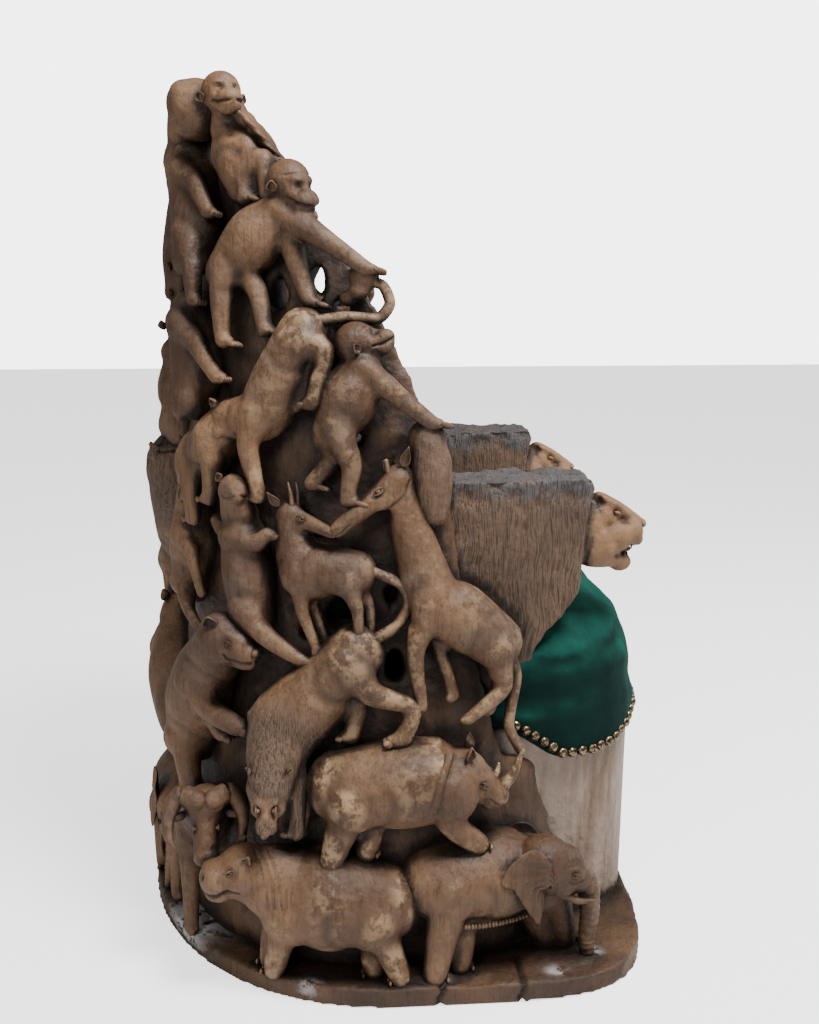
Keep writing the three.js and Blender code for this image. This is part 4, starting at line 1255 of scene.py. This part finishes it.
def carve_slab():
    bm = bmesh.new()

    def edge(turn, z):
        corners = SLAB_CORNERS_FRONT if math.sin(turn) < 0 else SLAB_CORNERS_REAR
        x, y = oblong(turn, SLAB_HALF_WIDTH, SLAB_TO_FRONT, SLAB_TO_REAR, corners)
        return float(x), float(y), z

    loft(bm, [0, SLAB_TOP / 2, SLAB_TOP], 90, edge)
    skin = one_skin(bm, SLAB_SKIN, 2)
    places = places_of(skin)
    rough = crag_at(places, 60, 0.9, 2.0, 4)
    push_out(skin, np.where(places[:, 2] > 4, rough * 4.0 - 2.0, 0))
    cracks = np.zeros(len(places))
    for y, wide in SLAB_CRACKS:
        wander = 4 * np.sin(places[:, 2] / 6)
        cracks = np.maximum(cracks, np.exp(-((places[:, 1] - CENTRE_Y - y - wander) / wide) ** 2)
                            * (places[:, 0] < CRACKS_END))
    push_out(skin, -cracks * CRACK_DEPTH)
    # The slab is darker all over and in patches, with painted shade and dirt in its hollows and cracks.
    dirt_and_crease_shade = 0.5 + rough * 0.25 + smoothstep(hollows(skin), 0.2, 3) * 0.4 + cracks
    paint(skin, "crevice", np.clip(dirt_and_crease_shade, 0, 1))
    chalk = np.zeros(len(places))
    for x, y, wide, long, share in CHALK_SPOTS:
        gap = ((places[:, 1] - CENTRE_Y - y) / long) ** 2 + ((places[:, 0] - x) / wide) ** 2
        chalk = np.maximum(chalk, share * np.exp(-gap))
    paint(skin, "dust", np.clip(chalk, 0, 0.85) * (places[:, 2] > 10))
    dress("base_slab", skin)


def carve_log():
    bm = bmesh.new()

    def bark(turn, z):
        low = 1 - z / LOG_TOP
        x, y = oblong(turn, LOG_HALF_WIDTH - 12 * low, LOG_TO_FRONT - 3 * low, LOG_TO_REAR, LOG_ROUNDNESS)
        return float(x), float(y), z

    loft(bm, list(np.linspace(2, LOG_TOP, 12)), 90, bark)
    skin = one_skin(bm, LOG_SKIN, 2)
    paint(skin, "sapwood", np.full(len(skin.vertices), 0.9))
    dress("log_seat", skin)


ARM_HALF_WIDTH = 66
ARM_OUTLINE = [(40, 828), (-352, 836), (-358, 816), (-346, 770), (-340, 700), (-336, 640), (-310, 600),
               (-285, 575), (-262, 540), (-246, 500), (-222, 440), (-196, 450), (-120, 540), (40, 600)]
SKULL_TO_FRONT, SKULL_HEIGHT = 331, 735


def carve_arm(side):
    """An arm with a mane for its side, and the lion's head at its front."""
    bm = bmesh.new()
    front = [bm.verts.new((side * ARM_X - ARM_HALF_WIDTH, y + MID_Y, z)) for y, z in ARM_OUTLINE]
    face = bm.faces.new(front)
    made = bmesh.ops.extrude_face_region(bm, geom=[face])
    moved = [v for v in made["geom"] if isinstance(v, bmesh.types.BMVert)]
    bmesh.ops.translate(bm, verts=moved, vec=(2 * ARM_HALF_WIDTH, 0, 0))
    bmesh.ops.recalc_face_normals(bm, faces=bm.faces)
    work = Carving()
    work.clay.free()
    work.clay = bm
    stand = (Matrix.Translation((side * ARM_X, CENTRE_Y - SKULL_TO_FRONT, SKULL_HEIGHT))
             @ Matrix(((0, 1, 0), (-1, 0, 0), (0, 0, 1))).to_4x4())
    arm_head(Head(work, stand, 1.0, 1.0))
    work.fine.append((np.array(stand @ Vector((60, 0, -10))), 95))
    piece = finish_carving(work, f"{FLANKS[side]}_lion_arm", NEAR_SKIN, 5)
    mesh = piece.data
    places = places_of(mesh)
    back = places[:, 1] - MID_Y
    hem = np.interp(-back, [190, 250, 300], [560, 520, 470])
    mane = smoothstep(back, -366, -346) * smoothstep(places[:, 2] - hem, -8, 8)
    comb(mesh, mane * (1 - smoothstep(places[:, 2], 800, 830)))
    places = places_of(mesh)
    crag = crag_at(places, 34, 0.8, 2.1, 4)
    top = smoothstep(places[:, 2], 770, 832) * mane
    push_out(mesh, top * (crag * 7 - 5) + (1 - top) * crag * mane * 1.6)
    paint(mesh, "hair", mane)
    paint(mesh, "weather", smoothstep(places[:, 2] + crag * 22, 785, 822) * mane)
    tan = (1 - mane) * smoothstep(-back, 300, 330)
    paint(mesh, "worn", tan * 0.12)
    paint(mesh, "polish", tan * 0.5)


def arm_head(h):
    """The lion's head at the end of an arm, in millimetres from the middle of its skull."""
    h.lump(0, 0, -2, 50, 45, 56)
    h.lump(34, 0, 26, 30, 34, 28)
    h.lump(44, 17, 48, 25, 12, 8, pitch=-30)
    h.tube([(26, 0, 48), (60, 0, 33), (96, 0, 9)], [17, 14, 12], crisp=False, sides=16)
    h.lump(84, 11, -4, 20, 18, 20)
    h.lump(92, 13, -17, 12, 10, 13)
    h.lump(56, 20, -12, 28, 19, 26)
    h.lump(103, 0, 8, 8, 14, 8, crisp=True)
    h.lump(30, 0, -52, 50, 31, 17)
    h.lump(66, 0, -60, 21, 20, 17)
    h.lump(16, 30, -26, 38, 19, 36)
    h.lump(60, 0, -37, 26, 12, 8, crisp=True)
    h.ear(2, 38, 40, 20, 12, lean=30, spread=50)
    h.dent(54, 30, 32, 9, 7)
    for side in (1, -1):
        lump(h.work.crisp, h.stand, (54, side * 22, 31), (7, 4, 3.5), -20, fineness=2)
    h.cut([(108, -33), (92, -36), (74, -36), (56, -34)], 4.5, 11)
    h.cut([(92, 4), (78, -10), (62, -24)], 4, 4)
    h.cut([(66, 34), (54, 30), (44, 36)], 3, 3)
    h.dent(108, 7, 4, 4, 5)
    for x, y, z, tip in ((84, 10, -27, -8), (72, 11, -46, 7), (90, 4, -27, -5), (78, 4, -47, 5)):
        h.tube([(x, y, z), (x, y, z + tip)], [3.0 if abs(tip) > 6 else 2.4, 0.8], sides=8)


def carve_stump(side):
    bm = bmesh.new()
    rows = along_line([(58, 790, 6, 30), (58, 850, 10, 36), (52, 908, 6, 32)], 6)
    tube(bm, [(*on_trunk(side, reach, z, out), r) for reach, z, out, r in rows], 20)
    skin = one_skin(bm, NEAR_SKIN, 3)
    comb(skin, np.ones(len(skin.vertices)), 14, 2)
    paint(skin, "hair", np.full(len(skin.vertices), 0.55))
    dress(f"{FLANKS[side]}_stump", skin)


# The wavy ridges on the near side's front edge: y and z. The knob's place is x, y and z.
RIM_RIDGES = [(222, 1422), (204, 1404), (188, 1386), (173, 1366), (160, 1344), (148, 1320), (140, 1296)]
RIM_X, RIDGE_PITCH = 236, 38
KNOB = (338, 26, 1162)


def carve_rim(side):
    """Wavy ridges that climb the front edge of the back, and the knob under the ape's hand."""
    bm = bmesh.new()
    if side == -1:
        for y, z in RIM_RIDGES:
            place = Vector((side * RIM_X, y + MID_Y, z))
            ring = Matrix.Translation(place) @ Matrix.Rotation(math.radians(RIDGE_PITCH), 4, "X")
            lump(bm, ring, (0, 0, 0), (38, 34, 7), fineness=3)
            lump(bm, ring, (0, 12, 0), (28, 22, 16), fineness=3)
        dress(f"{FLANKS[side]}_wavy_rim", one_skin(bm, RIM_SKIN, 1))
        bm = bmesh.new()
    knob = Matrix.Translation((side * KNOB[0], KNOB[1] + MID_Y, KNOB[2]))
    lump(bm, knob, (0, 0, 0), (25, 26, 25))
    lump(bm, knob, (side * 8, 8, -22), (16, 18, 14))
    lump(bm, knob, (0, 26, -34), (11, 15, 13))
    dress(f"{FLANKS[side]}_knob", one_skin(bm, NEAR_SKIN, 4))


# How far in front of the wood other wood is looked for, near and further off, in millimetres.
CLOSE_BY, FURTHER_OFF, MARGIN = 21, 56, 80


def paint_occlusion_shade(cell=8.0):
    """Darkens the wood where other wood lies close in front of it: painted shade, where the parts shut out
    the light.
    """
    points = [places_of(piece.data) for piece in WOODEN]
    ways = [normals_of(piece.data) for piece in WOODEN]
    every, out = np.concatenate(points), np.concatenate(ways)
    low = every.min(0) - MARGIN
    shape = np.ceil((every.max(0) + MARGIN - low) / cell).astype(int) + 1
    full = np.zeros(shape, np.float32)
    for deep in (0, 6):
        i, j, k = ((every - out * deep - low) / cell).astype(int).T
        full[i, j, k] = 1
    near, wide = spread_out(full, 1), spread_out(full, 3)
    for piece, places, normals in zip(WOODEN, points, ways):
        i, j, k = np.clip((places + normals * CLOSE_BY - low) / cell, 0, shape - 1).astype(int).T
        tight = near[i, j, k]
        i, j, k = np.clip((places + normals * FURTHER_OFF - low) / cell, 0, shape - 1).astype(int).T
        # Painted shade: the wood turns near black where other wood lies close in front.
        paint(piece.data, "shade", np.clip(smoothstep(tight, 0.02, 0.40) * 0.8
                                           + smoothstep(wide[i, j, k], 0.04, 0.30) * 0.62, 0, 0.9))


def spread_out(full, reach):
    """The share of full cells round each cell, where nearer cells count for more."""
    for _ in range(2):
        for axis in range(3):
            full = sum(np.roll(full, step, axis) for step in range(-reach, reach + 1)) / (2 * reach + 1)
    return full


# ---- the seat ----
SEAT_HEM, TUCK_HEIGHT = 372, 545
SEAT_LET_OUT, SEAT_PUFF = 2, 12
PUFF_FRAMES = 20
# In metres.
NAIL_RADIUS, NAIL_HEIGHT, NAIL_SUNK, SEAT_MIDDLE_Y = 0.0094, 0.0066, 0.002, -0.1


def upholster():
    """A thick stuffed seat: let out a little, blown up as cloth, then softly creased."""
    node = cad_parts["seat_cushion"]
    bm = bmesh.new()
    bm.from_mesh(node.data)
    bmesh.ops.remove_doubles(bm, verts=bm.verts, dist=1e-5)
    bmesh.ops.scale(bm, vec=(1 / MM,) * 3, verts=bm.verts)
    skin = one_skin(bm, SEAT_SKIN, 5)
    seat = new_object("velvet_seat", skin, VELVET)
    places, normals = places_of(skin), normals_of(skin)
    free = smoothstep(places[:, 2], SEAT_HEM + 40, SEAT_HEM + 120)
    slack = places + normals * (free * SEAT_LET_OUT)[:, None]
    move_to(skin, slack)
    puff_up(seat, slack, free)
    places = places_of(skin)
    creases = np.array([
        noise.fractal(Vector((x / 90, y / 150, z / 26)), 0.8, 2.1, 3) for x, y, z in places])
    tucks = np.exp(-((places[:, 2] - TUCK_HEIGHT) / 28) ** 2) * np.sin(places[:, 1] / 13 + 3 * creases) * 1.6
    push_out(skin, free * (creases * 3.2 + tucks))
    # Painted shade: the steep sides are darker than the top, as if lit from above.
    steep = normals_of(skin)[:, 2] + creases * 0.25
    paint(skin, "nap_and_side_shade", (1 - smoothstep(steep, 0.12, 0.55)) * 0.85)
    skin.shade_smooth()
    smooth = seat.modifiers.new("smooth", "SUBSURF")
    smooth.levels = smooth.render_levels = 1
    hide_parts("seat_cushion")
    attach(seat, "root")


def puff_up(seat, slack, free):
    """Blows the slack seat up as cloth, and keeps each point within reach of where it began."""
    scene = bpy.context.scene
    cloth = seat.modifiers.new("puff", "CLOTH")
    settings = cloth.settings
    settings.quality = 5
    settings.mass = 0.3
    settings.use_pressure = True
    settings.uniform_pressure_force = 4
    settings.effector_weights.gravity = 0
    cloth.point_cache.frame_start = 1
    cloth.point_cache.frame_end = PUFF_FRAMES
    for step in range(1, PUFF_FRAMES + 1):
        scene.frame_set(step)
    graph = bpy.context.evaluated_depsgraph_get()
    blown = places_of(seat.evaluated_get(graph).data)
    seat.modifiers.remove(cloth)
    scene.frame_set(1)
    move = (blown - slack) * free[:, None]
    far = np.linalg.norm(move, axis=1, keepdims=True)
    move_to(seat.data, slack + move * np.minimum(1, SEAT_PUFF / np.maximum(far, 1e-6)))


def nail_down():
    """A domed nail in place of each nail in the solid, looking straight out of the seat."""
    names = sorted(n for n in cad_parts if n.startswith("brass_nail"))
    for name in names:
        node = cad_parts[name]
        corners = np.array([v.co[:] for v in node.data.vertices])
        centre = corners.mean(0)
        bm = bmesh.new()
        outward = Vector(np.linalg.svd(corners - centre)[2][2])
        if outward.dot(Vector(centre) - Vector((0, SEAT_MIDDLE_Y, centre[2]))) < 0:
            outward = -outward
        outward.z = 0
        outward.normalize()
        spin = outward.to_track_quat("Z", "Y").to_matrix().to_4x4()
        foot = Vector(centre) - outward * NAIL_SUNK
        dome = Matrix.Translation(foot) @ spin @ Matrix.Diagonal((NAIL_RADIUS, NAIL_RADIUS, NAIL_HEIGHT, 1))
        bmesh.ops.create_uvsphere(bm, u_segments=16, v_segments=10, radius=1, matrix=dome)
        mesh = as_mesh(bm, name)
        mesh.shade_smooth()
        nail = new_object(name.replace("brass_nail", "domed_nail"), mesh, BRASS)
        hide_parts(name)
        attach(nail, "root")


# ---- the room: lens and places in metres, angles in degrees, then how bright it is ----
LENS, PITCH, YAW = 42.19, 11.6, 4.3
CAMERA_X, CAMERA_Y, CAMERA_Z = -2.30, 0.12, 1.18
SKY_LIGHT, SKY_SEEN, FLOOR_SEEN = 0.32, 5.0, 1.6


def place_camera():
    camera = bpy.data.cameras.new("camera")
    camera.lens = LENS
    camera.sensor_width = 36
    eye = in_scene("camera", camera)
    pitch, yaw = math.radians(PITCH), math.radians(YAW)
    forward = Vector((math.cos(yaw) * math.cos(pitch), -math.sin(yaw) * math.cos(pitch), -math.sin(pitch)))
    right = Vector((-math.sin(yaw), -math.cos(yaw), 0))
    up = right.cross(forward)
    place = (CAMERA_X, CENTRE_Y * MM + CAMERA_Y, CAMERA_Z)
    eye.matrix_world = frame_at(place, right, up, -forward)
    bpy.context.scene.camera = eye


def lamp(name, at, towards, size, power, colour=(1, 1, 1)):
    light = bpy.data.lights.new(name, "AREA")
    light.shape = "DISK"
    light.size = size
    light.energy = power
    light.color = colour
    made = in_scene(name, light)
    made.location = at
    made.rotation_euler = (Vector(towards) - Vector(at)).to_track_quat("-Z", "Y").to_euler()


def light_room():
    world = bpy.data.worlds.new("studio")
    world.use_nodes = True
    nodes, links = world.node_tree.nodes, world.node_tree.links
    soft = nodes["Background"]
    soft.inputs[0].default_value = (1, 1, 1, 1)
    soft.inputs[1].default_value = SKY_LIGHT
    white = nodes.new("ShaderNodeBackground")
    white.inputs[0].default_value = (1, 1, 1, 1)
    white.inputs[1].default_value = SKY_SEEN
    seen = nodes.new("ShaderNodeLightPath")
    either = nodes.new("ShaderNodeMixShader")
    links.new(seen.outputs["Is Camera Ray"], either.inputs[0])
    links.new(soft.outputs[0], either.inputs[1])
    links.new(white.outputs[0], either.inputs[2])
    links.new(either.outputs[0], nodes["World Output"].inputs[0])
    bpy.context.scene.world = world
    lamp("top_light", (-1.3, -0.9, 3.5), (0, 0, 0.8), 1.2, 190)
    lamp("side_light", (-3.0, 1.6, 2.6), (0, 0, 0.8), 1.6, 42)
    lamp("front_light", (0.6, -3.2, 2.2), (0, 0, 0.7), 1.6, 45)
    bm = bmesh.new()
    bmesh.ops.create_grid(bm, x_segments=1, y_segments=1, size=12)
    mesh = as_mesh(bm, "floor")
    paint_floor = Finish("pale_floor")
    paint_floor.shader.inputs["Base Color"].default_value = (0.9, 0.9, 0.9, 1)
    paint_floor.shader.inputs["Roughness"].default_value = 0.9
    lit = paint_floor.node("ShaderNodeLightPath")
    glow = paint_floor.maths("MULTIPLY", (lit, "Is Camera Ray"), FLOOR_SEEN)
    paint_floor.shader.inputs["Emission Color"].default_value = (1, 1, 1, 1)
    paint_floor.wire(glow, 0, paint_floor.shader, "Emission Strength")
    new_object("floor", mesh, paint_floor.material)


place_camera()
light_room()
carve_trunk()
carve_slab()
carve_log()
for side in (-1, 1):
    carve_arm(side)
    carve_stump(side)
    carve_rim(side)
carve_herd()
paint_occlusion_shade()
upholster()
nail_down()
